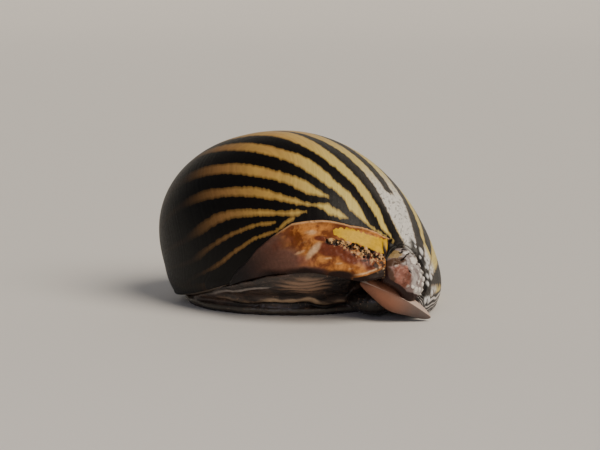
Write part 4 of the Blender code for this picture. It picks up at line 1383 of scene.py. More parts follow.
@dataclass(frozen=True)
class SoftBody:
    """Foot, lobe, mantle, head, snout, feelers and eye stalks under one skin."""

    form: ShellForm
    voxel: float = 0.13
    smoothing: int = 6
    gap: float = 0.3
    lip_thickness: float = 1.2
    foot_centre: Pair = (-10.3, 9.1)
    foot_half: Pair = (8.6, 7.3)
    foot_levels: tuple[Triple, ...] = (
        (0.0, -0.35, 0.0), (0.12, 0.0, 0.0), (0.4, 0.15, 0.0), (0.9, -0.25, 0.2),
        (1.7, -0.3, 1.1), (2.6, 0.0, 2.3), (3.6, 0.3, 3.4), (5.3, 0.35, 4.5),
    )
    lobe_centre: Triple = (-3.7, 2.3, 1.3)
    lobe_half: Triple = (2.1, 2.1, 1.15)
    head_x: float = -9.6
    head_y: float = 16.7
    head_height: float = 1.2
    head_half: Triple = (2.5, 2.6, 0.95)
    head_squareness: float = 2.4
    snout_y: float = 19.5
    snout_height: float = 0.85
    snout_half: Triple = (1.9, 1.3, 0.65)
    snout_squareness: float = 2.8
    neck_half: Triple = (2.3, 3.2, 0.9)
    joint_half: Triple = (1.75, 1.3, 0.62)
    mouth_half: Pair = (0.8, 0.07)
    mouth_depth: float = 0.16
    mouth_drop: float = 0.22
    clear_y: Pair = (14.4, 15.6)
    mantle_roll: float = 0.22
    tuck_centre: Triple = (-10.5, 2.0, 3.0)
    ridge: Pair = (0.17, 0.22)
    upper_fold: Pair = (0.09, 0.16)
    groove: Pair = (0.13, 0.10)
    cuff: Pair = (0.07, 0.16)
    patch_height: float = 0.05
    patch_spacing: float = 0.40
    wave: Pair = (0.06, 2.6)
    seam: Pair = (0.035, 0.9)
    fine: Pair = (0.012, 0.34)
    ring_spacing: float = 0.42
    ring_height: float = 0.012
    tentacle_length: float = 6.6
    tentacle_radii: Pair = (0.46, 0.16)
    tentacle_taper: float = 1.4
    tentacle_root: Triple = (1.75, 1.75, 0.45)
    tentacle_spread: float = 3.1
    tentacle_bow: float = 0.5
    tentacle_ahead: float = 0.86
    tentacle_lift: float = 0.75
    tentacle_lift_turn: float = 2.4
    tentacle_droop: float = 0.1
    stalk_root: Triple = (2.5, 0.55, 0.5)
    stalk_reach: Triple = (0.75, 0.25, 0.55)
    stalk_radius: float = 0.47
    eye_radius: float = 0.36
    eye_lead: float = 0.42
    ridge_line: Line = (
        (-19.0, .9), (-17.0, 1.15), (-15.0, 1.35), (-13.0, 1.2), (-11.4, 1.45), (-9.2, 1.35), (-7.0, 1.2),
        (-5.0, 1.1),
    )
    upper_line: Line = (
        (-17.0, 1.3), (-15.0, 1.95), (-13.6, 2.35), (-12.2, 2.7), (-11.0, 3.0), (-8.0, 3.1), (-6.0, 2.9),
    )

    def superellipsoid(self, name: str, centre: Array, half: Array, power: float = 2.0, rows: int = 40,
                       columns: int = 72) -> Object:
        """A closed round form, squarer in plan for a power over 2."""
        rise = (-0.5 * math.pi + math.pi * np.arange(1, rows) / rows)[:, None]
        angle = circle(columns)[None, :]
        flat = (np.abs(np.cos(angle)) ** power + np.abs(np.sin(angle)) ** power) ** (-1.0 / power)
        flat = flat * np.cos(rise)
        x = centre[0] + half[0] * flat * np.cos(angle)
        y = centre[1] + half[1] * flat * np.sin(angle)
        z = np.broadcast_to(centre[2] + half[2] * np.sin(rise), x.shape)
        low = np.array(centre) - (0.0, 0.0, half[2])
        high = np.array(centre) + (0.0, 0.0, half[2])
        return lofted(name, np.stack([x, y, z], -1), low, high)

    def tube(self, name: str, path: Array, radii: Array, sides: int = 28) -> Object:
        """A round closed tube along a path with a rounded end."""
        along = unit(np.gradient(path, axis=0))
        side = unit(np.cross(along, (0.0, 0.0, 1.0)))
        up = np.cross(side, along)
        angle = circle(sides)[None, :, None]
        around = np.cos(angle) * side[:, None, :] + np.sin(angle) * up[:, None, :]
        rings = path[:, None, :] + np.reshape(radii, (-1, 1, 1)) * around
        return lofted(name, rings, path[0] - along[0] * radii[0] * 0.5, path[-1] + along[-1] * radii[-1])

    def foot(self) -> Object:
        """The sole and the flesh over it, leaning back to the callus."""
        heights, spreads, backs = (np.array(part) for part in zip(*self.foot_levels))
        levels = np.linspace(0.0, heights[-1], 44)
        spread, back = np.interp(levels, heights, spreads), np.interp(levels, heights, backs)
        angle = circle(220)[None, :]
        x = self.foot_centre[0] + (self.foot_half[0] + spread[:, None]) * np.cos(angle)
        y = self.foot_centre[1] + (self.foot_half[1] + spread[:, None]) * np.sin(angle)
        y = y - back[:, None] * np.maximum(-np.sin(angle), 0.0)
        z = np.broadcast_to(levels[:, None], x.shape)
        rings = np.stack([x, y, z], -1)
        return lofted("foot_form", rings, (*self.foot_centre, 0.0), (*self.foot_centre, heights[-1]))

    def tentacle_path(self, flank: Flank) -> Array:
        """Middle line of one feeler."""
        share = np.linspace(0.0, 1.0, 40)
        side, ahead, up = self.tentacle_root
        bow = self.tentacle_bow * np.sin(math.pi * share)
        x = self.head_x + flank.value * (side + self.tentacle_spread * share + bow)
        y = self.head_y + ahead + self.tentacle_ahead * self.tentacle_length * share
        z = self.head_height + up + self.tentacle_lift * np.sin(self.tentacle_lift_turn * share)
        return np.stack([x, y, z - self.tentacle_droop * share], -1)

    def stalk_base(self, flank: Flank) -> tuple[Array, Array]:
        """Root and reach of one eye stalk."""
        mirror = np.array([flank.value, 1.0, 1.0])
        root = np.array((self.head_x, self.head_y, self.head_height)) + np.array(self.stalk_root) * mirror
        return root, np.array(self.stalk_reach) * mirror

    def eye_centre(self, flank: Flank) -> Array:
        """Middle of one eyeball."""
        root, reach = self.stalk_base(flank)
        return root + reach + unit(reach) * self.eye_lead

    def forms(self) -> list[Object]:
        """The closed forms that the skin is drawn over."""
        made = [self.foot(), self.superellipsoid("lobe_form", self.lobe_centre, self.lobe_half)]
        head = (self.head_x, self.head_y, self.head_height)
        snout = (self.head_x, self.snout_y, self.snout_height)
        neck = (self.head_x, self.head_y - 2.4, self.head_height)
        joint = (self.head_x, 0.5 * (self.head_y + self.snout_y) + 0.6, 0.95)
        made.append(self.superellipsoid("head_form", head, self.head_half, self.head_squareness))
        made.append(self.superellipsoid("neck_form", neck, self.neck_half, self.head_squareness))
        made.append(self.superellipsoid("snout_form", snout, self.snout_half, self.snout_squareness))
        made.append(self.superellipsoid("joint_form", joint, self.joint_half, self.head_squareness))
        for flank in Flank:
            path = self.tentacle_path(flank)
            share = np.linspace(0.0, 1.0, len(path))
            thick, thin = self.tentacle_radii
            radii = thick + (thin - thick) * share ** self.tentacle_taper
            made.append(self.tube("feeler_form", path, radii))
            root, reach = self.stalk_base(flank)
            steps = np.array([-0.5, -0.2, 0.1, 0.4, 0.7, 1.0])[:, None]
            radii = self.stalk_radius * np.array([1.1, 1.08, 1.03, 1.0, 0.98, 0.92])
            made.append(self.tube("stalk_form", root + reach * steps, radii))
        return made

    def skin(self) -> Object:
        """Join the forms under one remeshed and smoothed skin."""
        forms = self.forms()
        data = bpy.data.meshes.new("soft_body_dressed")
        points, faces, count = [], [], 0
        for form in forms:
            points.extend(tuple(vertex.co) for vertex in form.data.vertices)
            faces.extend(tuple(count + index for index in polygon.vertices) for polygon in form.data.polygons)
            count += len(form.data.vertices)
            bpy.data.objects.remove(form)
        data.from_pydata(points, [], faces)
        piece = linked("soft_body_dressed", data)
        remesh = piece.modifiers.new("one_skin", "REMESH")
        remesh.mode = "VOXEL"
        remesh.voxel_size = self.voxel * MM
        smooth = piece.modifiers.new("soften", "SMOOTH")
        smooth.factor = 0.5
        smooth.iterations = self.smoothing
        graph = bpy.context.evaluated_depsgraph_get()
        piece.data = bpy.data.meshes.new_from_object(piece.evaluated_get(graph))
        piece.modifiers.clear()
        return piece

    def tucked(self, points: Array) -> Array:
        """Pull what would stand outside the shell in under its rim."""
        plain = to_shell(points)
        rim = self.form.rim_height(points)
        under = falling(*self.clear_y, points[..., 1])
        level = smoothstep(-0.16, 0.0, points[..., 2] - rim) * under
        middle = np.array(self.tuck_centre)
        away = plain - middle
        room = self.form.ray(middle, unit(away)) - self.lip_thickness - self.gap
        far = np.linalg.norm(away, axis=-1)
        over = np.clip(far - room, 0.0, None) * level
        made = to_world(plain - unit(away) * over[..., None])
        ceiling = np.maximum(rim + self.lip_thickness, 0.6)
        made[..., 2] -= np.clip(made[..., 2] - ceiling, 0.0, None) * under
        return made

    def build(self) -> Object:
        """Make the skin, tuck it under the shell and fold it."""
        piece = self.skin()
        mesh = piece.data
        read = {}
        for name in ("co", "normal"):
            numbers = np.zeros(len(mesh.vertices) * 3, np.float32)
            mesh.vertices.foreach_get(name, numbers)
            read[name] = numbers.reshape(-1, 3).astype(float)
        points = self.tucked(read["co"] / MM + MIDDLE)
        folds, values = self.folds(points)
        wanted = points + read["normal"] * folds[:, None]
        outward = unit(points[:, :2] - np.array(self.foot_centre))
        wanted[:, :2] += outward * (self.mantle_roll * values.pop("roll"))[:, None]
        wanted[:, 2] = np.maximum(wanted[:, 2], 0.0)
        wanted[points[:, 2] < 0.10, 2] = 0.0
        mesh.vertices.foreach_set("co", ((wanted - MIDDLE) * MM).astype(np.float32).ravel())
        mesh.update()
        mesh.validate()
        paint(piece, values)
        mesh.shade_smooth()
        return piece

    def folds(self, points: Array) -> tuple[Array, Values]:
        """Relief of the flesh and the values that its finish reads."""
        x, y, z = points[:, 0], points[:, 1], points[:, 2]
        rear = falling(4.5, 7.5, y)
        sway = 0.09 * ripple(points * (1.0, 1.0, 0.0), 1.7, 46)
        from_ridge = z - np.interp(x, *zip(*self.ridge_line)) - sway
        ridge = bell(from_ridge, self.ridge[1]) * rear
        ridge *= smoothstep(-20.0, -15.0, x) * falling(-6.6, -4.0, x)
        broken = np.clip(0.90 + 0.35 * ripple(points * (1.0, 1.0, 0.4), 1.6, 45), 0.0, 1.0)
        upper = bell(z - np.interp(x, *zip(*self.upper_line)), self.upper_fold[1]) * rear
        upper *= smoothstep(-17.5, -14.5, x) * falling(-12.8, -10.5, x)
        crease = bell(from_ridge + 0.42, self.groove[1]) * rear
        crease *= smoothstep(-14.0, -11.0, x) * falling(-5.5, -4.0, x)
        patch = blob(x + 9.0, z - 2.9, 2.3, 0.95, 1.4) * rear
        level = z + 0.20 * ripple(points * (0.7, 0.7, 1.0), 1.9, 41)
        lines = np.sin(2.0 * math.pi * level / self.patch_spacing)
        wave = self.wave[0] * ripple(points, self.wave[1], 42)
        seam = self.seam[0] * ripple(points * (0.35, 0.35, 1.6), self.seam[1], 43)
        fine = self.fine[0] * ripple(points, self.fine[1], 44)
        cuff = bell(z - 0.42, self.cuff[1])
        upright = smoothstep(0.06, 0.25, z)
        body = falling(15.5, 17.5, y)
        rise = z - self.form.rim_height(points)
        roll = bell(rise + 0.40, 0.35) * rear * smoothstep(0.35, 0.9, z)
        relief = self.ridge[0] * ridge + self.upper_fold[0] * upper - self.groove[0] * crease
        relief = relief + self.patch_height * patch * lines + self.cuff[0] * cuff * body
        relief = (relief + wave * body + seam * body + fine) * upright
        mouth_z = self.snout_height - self.mouth_drop
        front = smoothstep(self.snout_y + 0.8, self.snout_y + 1.15, y)
        half_long, half_high = self.mouth_half
        mouth = np.exp(-((z - mouth_z) / half_high) ** 2 - ((x - self.head_x) / half_long) ** 4) * front
        rings = np.sin(2.0 * math.pi * y / self.ring_spacing) * smoothstep(19.3, 20.2, y)
        rings *= np.abs(x - self.head_x) > 2.2
        relief = relief - self.mouth_depth * mouth + self.ring_height * rings
        clear = (0.45 + 0.55 * smoothstep(-12.4, -11.2, x)) * (1.0 - 0.5 * smoothstep(-7.6, -6.4, x))
        values = {
            "roll": roll,
            "ridge": ridge * broken * clear,
            "line": np.clip(upper, 0.0, 1.0),
            # The groove under the ridge and the mouth are painted near black, as painted shade
            "crease": np.clip(crease + 0.5 * mouth, 0.0, 1.0),
            "patch": np.clip(patch * (0.75 + 0.25 * lines), 0.0, 1.0),
            "cuff": np.clip(cuff * body, 0.0, 1.0),
            # The flesh in the gap beside the lid is painted dark, as painted shade
            "recess_shade": smoothstep(-7.4, -6.4, x) * rear * falling(1.3, 2.0, y),
            "front": smoothstep(11.0, 17.0, y),
        }
        return relief, values


@dataclass(frozen=True)
class Eyes:
    """The two eyeballs, set into the tips of their stalks."""

    body: SoftBody
    rows: int = 26
    columns: int = 40
    cornea: float = 0.03

    def build(self, flank: Flank) -> Object:
        """Mesh one eyeball with a slightly raised cornea on its outer side."""
        centre = self.body.eye_centre(flank)
        _, reach = self.body.stalk_base(flank)
        axis = unit(reach)
        side = unit(np.cross(axis, (0.0, 0.0, 1.0)))
        up = np.cross(side, axis)
        radius = self.body.eye_radius
        tilt = (math.pi * np.arange(1, self.rows) / self.rows)[:, None]
        angle = circle(self.columns)[None, :]
        size = radius * (0.96 + self.cornea * np.exp(-(tilt / 0.55) ** 4))
        flat = (size * np.sin(tilt))[..., None]
        ahead = np.broadcast_to(size * np.cos(tilt), (self.rows - 1, self.columns))[..., None]
        around = np.cos(angle)[..., None] * side + np.sin(angle)[..., None] * up
        rings = centre + flat * around + ahead * axis
        tip = centre + axis * radius * (0.96 + self.cornea)
        return lofted("eye_" + flank.name.lower() + "_dressed", rings, tip, centre - axis * radius * 0.96)


@dataclass(frozen=True)
class EnamelledShell:
    """Polished shell lime under a thin horny coat: smooth, with a soft broad gloss and fine growth lines."""

    black: str = "#0b0705"
    black_worn_and_sheen: str = "#2f2a26"
    gold: str = "#b8944c"
    tan: str = "#a67a48"
    cream: str = "#c8b466"
    chalk: str = "#d3d1cc"
    edge: str = "#5a4018"
    shade: str = "#2c2a2d"
    scratch: str = "#6f6a64"
    knob: str = "#c9c9c8"
    lip: str = "#c6c0bb"
    lip_dark: str = "#160e10"
    inside: str = "#6d6258"
    jag_size: Pair = (0.34, 0.60)
    edge_at: float = 0.05
    edge_softness: float = 0.035
    border_span: Pair = (0.07, 0.31)
    roughness: float = 0.42

    def material(self) -> bpy.types.Material:
        """Build the node material."""
        made = Wiring("enamelled_shell_lime")
        made.add_node("place", "Attribute", {"attribute_name": "place"}, "Vector")
        made.read("stripe", "cream", "pale", "tan", "painted_shade", "inner", "lip_line", "lip_zone", "mesh", "knobs")
        low_jag, high_jag = self.jag_size
        soft, start, end = self.edge_softness, *self.border_span
        made.add_nodes(
            # Growth lines cross the stripes and cut their edges into teeth 0.3 mm apart
            ("slanted", "Mapping", {
                "Vector": "place", "Rotation": (0.0, 0.0, 0.45), "Scale": (3.3, 0.8, 1.0)}),
            ("teeth", "TexNoise", {"Vector": "slanted", "Scale": 1.0, "Detail": 2.5, "Roughness": 0.62}),
            ("jag", "MapRange", {"Value": "cream", "To Min": low_jag, "To Max": high_jag}),
            ("centred", "Math", {"operation": "SUBTRACT", 0: "teeth", 1: 0.5}),
            ("ragged", "Math", {"operation": "MULTIPLY_ADD", 0: "centred", 1: "jag", 2: "stripe"}),
            ("fine", "TexNoise", {"Vector": "object", "Scale": 6000.0, "Detail": 3.0, "Roughness": 0.6}),
            ("depth", "Math", {"operation": "MULTIPLY_ADD", 0: "fine", 1: 2.0 * self.edge_at, 2: "ragged"}),
            ("mask", "MapRange", SMOOTH | {
                "Value": "depth", "From Min": self.edge_at - soft, "From Max": self.edge_at + soft}),
            ("border", "MapRange", SMOOTH | {
                "Value": "depth", "From Min": start, "From Max": end, "To Min": 0.75, "To Max": 0.0}),
            # Fine growth lines run along each stripe's short way, 0.14 mm apart
            ("streaked", "Mapping", {"Vector": "place", "Scale": (0.45, 7.0, 1.0)}),
            ("streaks", "TexNoise", {"Vector": "streaked", "Scale": 1.0, "Detail": 4.0, "Roughness": 0.6}),
            ("lined", "MapRange", GRAIN_SPAN | {"Value": "streaks", "To Min": 0.80, "To Max": 1.12}),
            ("clouds", "TexNoise", {"Vector": "object", "Scale": 700.0, "Detail": 3.0, "Roughness": 0.55}),
            ("patchy", "MapRange", {"Value": "clouds", "From Min": 0.38, "From Max": 0.66, "To Max": 0.55}),
            ("tanned", "Math", {"operation": "MAXIMUM", 0: "tan", 1: "patchy"}),
            # The chalky part of the stripes, whose whiteness is partly painted highlight, is scratched
            ("scratched", "Mapping", {
                "Vector": "place", "Rotation": (0.0, 0.0, -0.5), "Scale": (6.5, 2.2, 1.0)}),
            ("scratches", "TexNoise", {"Vector": "scratched", "Scale": 1.0, "Detail": 2.0, "Roughness": 0.5}),
            ("marks", "MapRange", SMOOTH | {
                "Value": "scratches", "From Min": 0.54, "From Max": 0.66, "To Max": 0.75}),
            ("worn", "Math", {"operation": "MULTIPLY", 0: "marks", 1: "pale"}),
            ("lip_lined", "MapRange", SMOOTH | {"Value": "lip_line", "From Min": -0.03, "From Max": 0.03}),
            ("relief", "Math", {"operation": "ADD", 0: "streaks", 1: "teeth"}),
            ("gloss", "MapRange", GRAIN_SPAN | {
                "Value": "fine", "To Min": self.roughness - 0.05, "To Max": self.roughness + 0.10}),
        )
        pale = made.lay(self.gold, ("tanned", self.tan), ("cream", self.cream), ("pale", self.chalk),
                        ("worn", self.scratch), (1.0, "lined", "MULTIPLY"), ("border", self.edge))
        # Where the stripes whiten the black is greyed, partly by wear and partly as painted sheen
        dark = made.lay(self.black, ("pale", self.black_worn_and_sheen))
        lip = made.lay(self.lip_dark, ("lip_lined", self.lip))
        # The painted shade is multiplied in over the pattern
        colour = made.lay(dark, ("mask", pale), ("painted_shade", self.shade, "MULTIPLY"), ("inner", self.inside),
                          ("lip_zone", lip), ("mesh", self.black), ("knobs", self.knob))
        sockets = {"Roughness": "gloss", "IOR": 1.53, "Specular IOR Level": 0.14, "Coat Weight": 0.03,
                   "Coat Roughness": 0.22}
        return made.close(colour, sockets, "relief", 0.12, 0.05)


@dataclass(frozen=True)
class GlazedCallus:
    """Porcelain-like callus lime, glazed on the left and worn to matt pits on the right."""

    orange: str = "#6d3814"
    ochre: str = "#bd7c3c"
    gold: str = "#c69c14"
    cream: str = "#d2ad84"
    rust: str = "#663019"
    rose: str = "#7d4a3c"
    mauve: str = "#6a483b"
    umber: str = "#1f100a"
    fleck: str = "#c39c6c"
    margin: str = "#c8996a"
    shade: str = "#1b1718"
    roughness: float = 0.44
    zone_start: Pair = (0.72, 0.05)

    def material(self) -> bpy.types.Material:
        """Build the node material."""
        made = Wiring("glazed_callus_lime")
        made.read("band", "margin", "fade", "gloss")
        made.add_nodes(
            ("clouds", "TexNoise", {"Vector": "object", "Scale": 900.0, "Detail": 4.0, "Roughness": 0.62,
                                    "Distortion": 0.6}),
            ("grain", "TexNoise", {"Vector": "object", "Scale": 4200.0, "Detail": 3.0, "Roughness": 0.65}),
            ("specks", "TexNoise", {"Vector": "object", "Scale": 2600.0, "Detail": 2.5, "Roughness": 0.6}),
            ("mottled", "MapRange", {"Value": "clouds", "From Min": 0.40, "From Max": 0.60}),
            ("pinked", "MapRange", {"Value": "margin", "From Min": 0.35, "From Max": 0.9, "To Max": 0.85}),
            ("grained", "MapRange", GRAIN_SPAN | {"Value": "grain", "To Min": 0.82, "To Max": 1.15}),
            ("rough", "MapRange", {
                "Value": "gloss", "To Min": self.roughness, "To Max": self.roughness - 0.10}),
        )
        colour = made.lay(self.orange, ("mottled", self.ochre))
        # Each zone's soft weight is broken up by noise, so that its border is ragged
        zones = (("mauve", self.mauve, "clouds", 0.25, 0.9), ("rust", self.rust, "clouds", 0.9, 0.6),
                 ("rose", self.rose, "clouds", 0.6, 0.8), ("gold", self.gold, "clouds", 0.2, 0.25),
                 ("cream", self.cream, "clouds", 0.9, 0.9), ("umber", self.umber, "clouds", 0.5, 0.8),
                 ("pit", self.umber, "grain", 0.5, 0.35), ("fleck", self.fleck, "grain", 0.5, 0.45))
        for name, over, noise, break_up, softness in zones:
            start = self.zone_start[0] * break_up + self.zone_start[1]
            colour = made.zone(colour, name, over, noise, break_up, (start, start + softness))
        # Dark pits and pale flecks of about 0.4 mm are strewn over the worn band
        spots = (("dark", self.umber, 0.50, 0.42, 0.9), ("light", self.fleck, 0.56, 0.64, 0.75))
        for name, over, low, high, most in spots:
            made.add_nodes(
                (name + "_spots", "MapRange", SMOOTH | {
                    "Value": "specks", "From Min": low, "From Max": high, "To Max": most}),
                (name, "Math", {"operation": "MULTIPLY", 0: name + "_spots", 1: "band"}),
            )
            colour = made.lay(colour, (name, over))
        # The left end fades to painted shade
        colour = made.lay(colour, ("pinked", self.margin), ("fade", self.shade), (1.0, "grained", "MULTIPLY"))
        sockets = {"Roughness": "rough", "IOR": 1.53, "Specular IOR Level": 0.14, "Coat Weight": 0.03,
                   "Coat Roughness": 0.2}
        return made.close(colour, sockets, "grain", 0.35, 0.05)


@dataclass(frozen=True)
class ChalkySpire:
    """Corroded shell lime at the apex: chalk white bosses, rosy inner layers and black pits."""

    base: str = "#6a514a"
    chalk: str = "#7f7371"
    grey: str = "#a69f9c"
    brown: str = "#4a3222"
    rosy: str = "#673b2c"
    pale_rose: str = "#8c5c4e"
    tan: str = "#8f774f"
    white: str = "#d6d0c8"
    pit: str = "#0f0b0a"
    edge: str = "#28130f"
    zone_start: Pair = (0.72, 0.06)
    zone_softness: float = 0.45

    def material(self) -> bpy.types.Material:
        """Build the node material."""
        made = Wiring("corroded_spire_lime")
        made.add_nodes(
            ("grain", "TexNoise", {"Vector": "object", "Scale": 3800.0, "Detail": 4.0, "Roughness": 0.65}),
            ("clouds", "TexNoise", {"Vector": "object", "Scale": 1500.0, "Detail": 2.0}),
            ("split", "MapRange", SMOOTH | {"Value": "clouds", "From Min": 0.42, "From Max": 0.62}),
            ("grained", "MapRange", GRAIN_SPAN | {"Value": "grain", "To Min": 0.8, "To Max": 1.15}),
        )
        colour = made.lay(self.base, ("grain", self.chalk))
        # The grey and rosy zones are patches of two tones
        zones = (("grey", made.lay(self.grey, ("split", self.chalk)), 0.6), ("mesh", self.pit, 0.5),
                 ("white", self.white, 0.4), ("rosy", made.lay(self.rosy, ("split", self.pale_rose)), 0.8),
                 ("brown", self.brown, 0.5), ("tan", self.tan, 0.5), ("painted_shadow", self.edge, 0.3),
                 ("edge", self.edge, 0.3), ("pit", self.pit, 0.4))
        # One zone, in the edge colour, is painted shadow beside the lid, and the brown zone holds painted
        # shadow beside the callus as well
        for name, over, break_up in zones:
            start = self.zone_start[0] * break_up + self.zone_start[1]
            colour = made.zone(colour, name, over, "grain", break_up, (start, start + self.zone_softness))
        colour = made.lay(colour, (1.0, "grained", "MULTIPLY"))
        sockets = {"Roughness": 0.46, "Specular IOR Level": 0.25, "IOR": 1.55}
        return made.close(colour, sockets, "grain", 0.4, 0.05)


@dataclass(frozen=True)
class HornyLid:
    """Horn over lime, laid down in arcs: satin, pinkish tan that greys towards the low end."""

    tan: str = "#80543f"
    grey: str = "#5a504c"
    pale: str = "#b7a294"
    brown: str = "#5c3d31"

    def material(self) -> bpy.types.Material:
        """Build the node material."""
        made = Wiring("horny_operculum")
        made.read("lid_long", "lid_rim")
        made.add_nodes(
            ("clouds", "TexNoise", {"Vector": "object", "Scale": 1100.0, "Detail": 3.0}),
            ("greying", "MapRange", SMOOTH | {"Value": "lid_long", "From Min": 0.35, "From Max": 0.85}),
            ("blotched", "MapRange", {"Value": "clouds", "From Min": 0.5, "From Max": 0.75, "To Max": 0.35}),
        )
        colour = made.lay(self.tan, ("greying", self.grey), ("blotched", self.brown), ("lid_rim", self.pale))
        sockets = {"Roughness": 0.48, "Specular IOR Level": 0.22, "IOR": 1.54}
        return made.close(colour, sockets, "clouds", 0.15, 0.04)


@dataclass(frozen=True)
class WetFlesh:
    """Living skin under a film of slime: dark and mottled, with small wet highlights."""

    dark: str = "#1b1512"
    brown: str = "#43332a"
    cream: str = "#a98e70"
    rosy: str = "#8c6e57"
    grey: str = "#8a817a"
    olive: str = "#4c463c"
    head: str = "#463d34"
    crease: str = "#080605"
    zone_start: Pair = (0.5, 0.25)
    zone_softness: float = 0.5

    def material(self) -> bpy.types.Material:
        """Build the node material."""
        made = Wiring("slimy_foot_skin")
        made.add_nodes(
            ("stretched", "Mapping", {"Vector": "object", "Scale": (500.0, 500.0, 1500.0)}),
            ("clouds", "TexNoise", {"Vector": "stretched", "Scale": 1.0, "Detail": 4.0, "Roughness": 0.6}),
            ("grain", "TexNoise", {"Vector": "object", "Scale": 4500.0, "Detail": 3.0, "Roughness": 0.6}),
            ("mottled", "MapRange", SMOOTH | {"Value": "clouds", "From Min": 0.38, "From Max": 0.68}),
            ("speckle", "MapRange", SMOOTH | {
                "Value": "grain", "From Min": 0.60, "From Max": 0.70, "To Max": 0.45}),
        )
        colour = made.lay(self.dark, ("mottled", self.brown))
        # The zone in the gap beside the lid is painted shade, and so are the creases and the mouth
        zones = (("front", self.head, 0.6), ("cuff", self.olive, 0.5), ("patch", self.rosy, 0.5),
                 ("line", self.grey, 0.5), ("ridge", self.cream, 0.7), ("recess_shade", self.dark, 0.3),
                 ("crease", self.crease, 0.3))
        for name, over, break_up in zones:
            start = self.zone_start[0] * break_up + self.zone_start[1]
            colour = made.zone(colour, name, over, "clouds", break_up, (start, start + self.zone_softness))
        colour = made.lay(colour, ("speckle", self.rosy))
        sockets = {"Roughness": 0.42, "IOR": 1.38, "Coat Weight": 0.25, "Coat Roughness": 0.2}
        return made.close(colour, sockets, "grain", 0.5, 0.06)


@dataclass(frozen=True)
class EyeBlack:
    """Dark eyeball pigment behind a clear wet cornea: one small sharp highlight."""

    colour: str = "#070608"
    rim: str = "#1b1310"

    def material(self) -> bpy.types.Material:
        """Build the node material."""
        made = Wiring("eye_pigment")
        made.add_node("clouds", "TexNoise", {"Vector": "object", "Scale": 5000.0})
        sockets = {"Roughness": 0.06, "IOR": 1.38, "Coat Weight": 1.0, "Coat Roughness": 0.03}
        return made.close(made.lay(self.colour, ("clouds", self.rim)), sockets)


@dataclass(frozen=True)
class SoftLight:
    """One soft box, in the animal's frame and aimed at its middle."""

    name: str
    place: Triple
    size: float
    watts: float
    colour: str


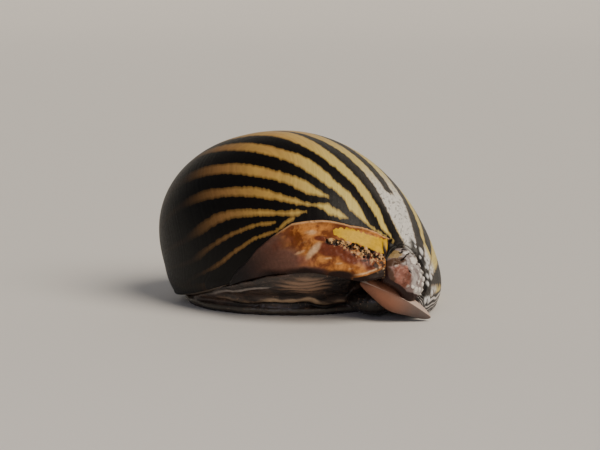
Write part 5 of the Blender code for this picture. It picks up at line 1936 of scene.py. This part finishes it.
@dataclass(frozen=True)
class Studio:
    """Plain pale floor, soft lights and the camera at the photograph's angle."""

    floor_half: float = 2600.0
    sweep_start: float = 900.0
    sweep_radius: float = 900.0
    floor_colour: str = "#dddbd8"
    sky_colour: str = "#c3c9d2"
    sky_strength: float = 0.26
    key_place: Triple = (75.0, -70.0, 105.0)
    key_strength: float = 3.3
    key_softness: float = math.radians(40.0)
    key_colour: str = "#fff2df"
    lens: float = 99.24
    sensor: float = 36.0
    camera_place: Triple = (-8.0, -126.735, 25.092)
    camera_aim: Triple = (-9.43, 2.03, 7.23)
    light_aim: Triple = (-8.0, 4.0, 6.0)
    lights: tuple[SoftLight, ...] = (
        SoftLight("fill_light", (-40.0, -130.0, 40.0), 70.0, 0.020, "#f3ecff"),
    )

    def floor(self) -> None:
        """Add a plain pale floor that sweeps up far behind the animal."""
        half, start, radius = self.floor_half * MM, self.sweep_start * MM, self.sweep_radius * MM
        bends = [math.radians(5.0 * step) for step in range(19)]
        profile = [(-half, 0.0)]
        profile += [(start + radius * math.sin(bend), radius * (1.0 - math.cos(bend))) for bend in bends]
        profile.append((start + radius, 2.0 * radius))
        mesh = bpy.data.meshes.new("studio_floor")
        points = [(side, y, z) for y, z in profile for side in (-half, half)]
        faces = [(2 * row, 2 * row + 1, 2 * row + 3, 2 * row + 2) for row in range(len(profile) - 1)]
        mesh.from_pydata(points, [], faces)
        mesh.shade_smooth()
        look = bpy.data.materials.new("matt_paper")
        look.use_nodes = True
        shader = look.node_tree.nodes["Principled BSDF"]
        shader.inputs["Base Color"].default_value = linear(self.floor_colour)
        shader.inputs["Roughness"].default_value = 0.85
        mesh.materials.append(look)
        linked("studio_floor", mesh)

    def light(self, lamp: SoftLight) -> None:
        """Add one soft box."""
        data = bpy.data.lights.new(lamp.name, "AREA")
        data.shape = "DISK"
        data.size = lamp.size * MM
        data.energy = lamp.watts
        data.color = linear(lamp.colour)[:3]
        self.aim(linked(lamp.name, data), lamp.place, self.light_aim)

    def aim(self, made: Object, place: tuple[float, ...], target: tuple[float, ...]) -> None:
        """Put an object at a place and point it at a target."""
        start = Vector(((np.array(place) - MIDDLE) * MM).tolist())
        end = Vector(((np.array(target) - MIDDLE) * MM).tolist())
        made.location = start
        made.rotation_mode = "QUATERNION"
        made.rotation_quaternion = (end - start).to_track_quat("-Z", "Y")

    def build(self) -> None:
        """Add the floor, the sky, the lights and the camera."""
        self.floor()
        world = bpy.data.worlds.new("studio_sky")
        world.use_nodes = True
        sky = world.node_tree.nodes["Background"]
        sky.inputs["Color"].default_value = linear(self.sky_colour)
        sky.inputs["Strength"].default_value = self.sky_strength
        bpy.context.scene.world = world
        for lamp in self.lights:
            self.light(lamp)
        key = bpy.data.lights.new("key_light", "SUN")
        key.energy, key.angle = self.key_strength, self.key_softness
        key.color = linear(self.key_colour)[:3]
        self.aim(linked("key_light", key), self.key_place, self.light_aim)
        data = bpy.data.cameras.new("camera")
        data.lens = self.lens
        data.sensor_width = self.sensor
        data.clip_start, data.clip_end = 0.005, 10.0
        camera = linked("camera", data)
        self.aim(camera, self.camera_place, self.camera_aim)
        bpy.context.scene.camera = camera


def main() -> None:
    """Build the studio and every piece of the animal in order."""
    logging.basicConfig(level=logging.INFO, format="%(name)s %(message)s")
    Studio().build()
    form = ShellForm()
    disc = SpireDisc(form)
    whorl = BodyWhorl(form, disc).build(ZebraPattern(form))
    dress(whorl, EnamelledShell().material(), Slot.SHELL, "shell_body_whorl")
    dress(Callus(form, disc).build(), GlazedCallus().material(), Slot.CALLUS, "shell_callus")
    dress(WornCoil(form, disc).build(), ChalkySpire().material(), Slot.SPIRE, "shell_spire")
    dress(Lid().build(), HornyLid().material(), Slot.LID, "operculum")
    body = SoftBody(form)
    soft_nodes = ("mantle", "foot", "opercular_lobe", "head", "snout", "tentacle_left", "tentacle_right",
                  "eye_stalk_left", "eye_stalk_right")
    dress(body.build(), WetFlesh().material(), Slot.FLESH, *soft_nodes)
    eye_finish = EyeBlack().material()
    eyes = Eyes(body)
    for flank in Flank:
        dress(eyes.build(flank), eye_finish, Slot.EYE, "eye_" + flank.name.lower())


if __name__ == "__main__":
    main()
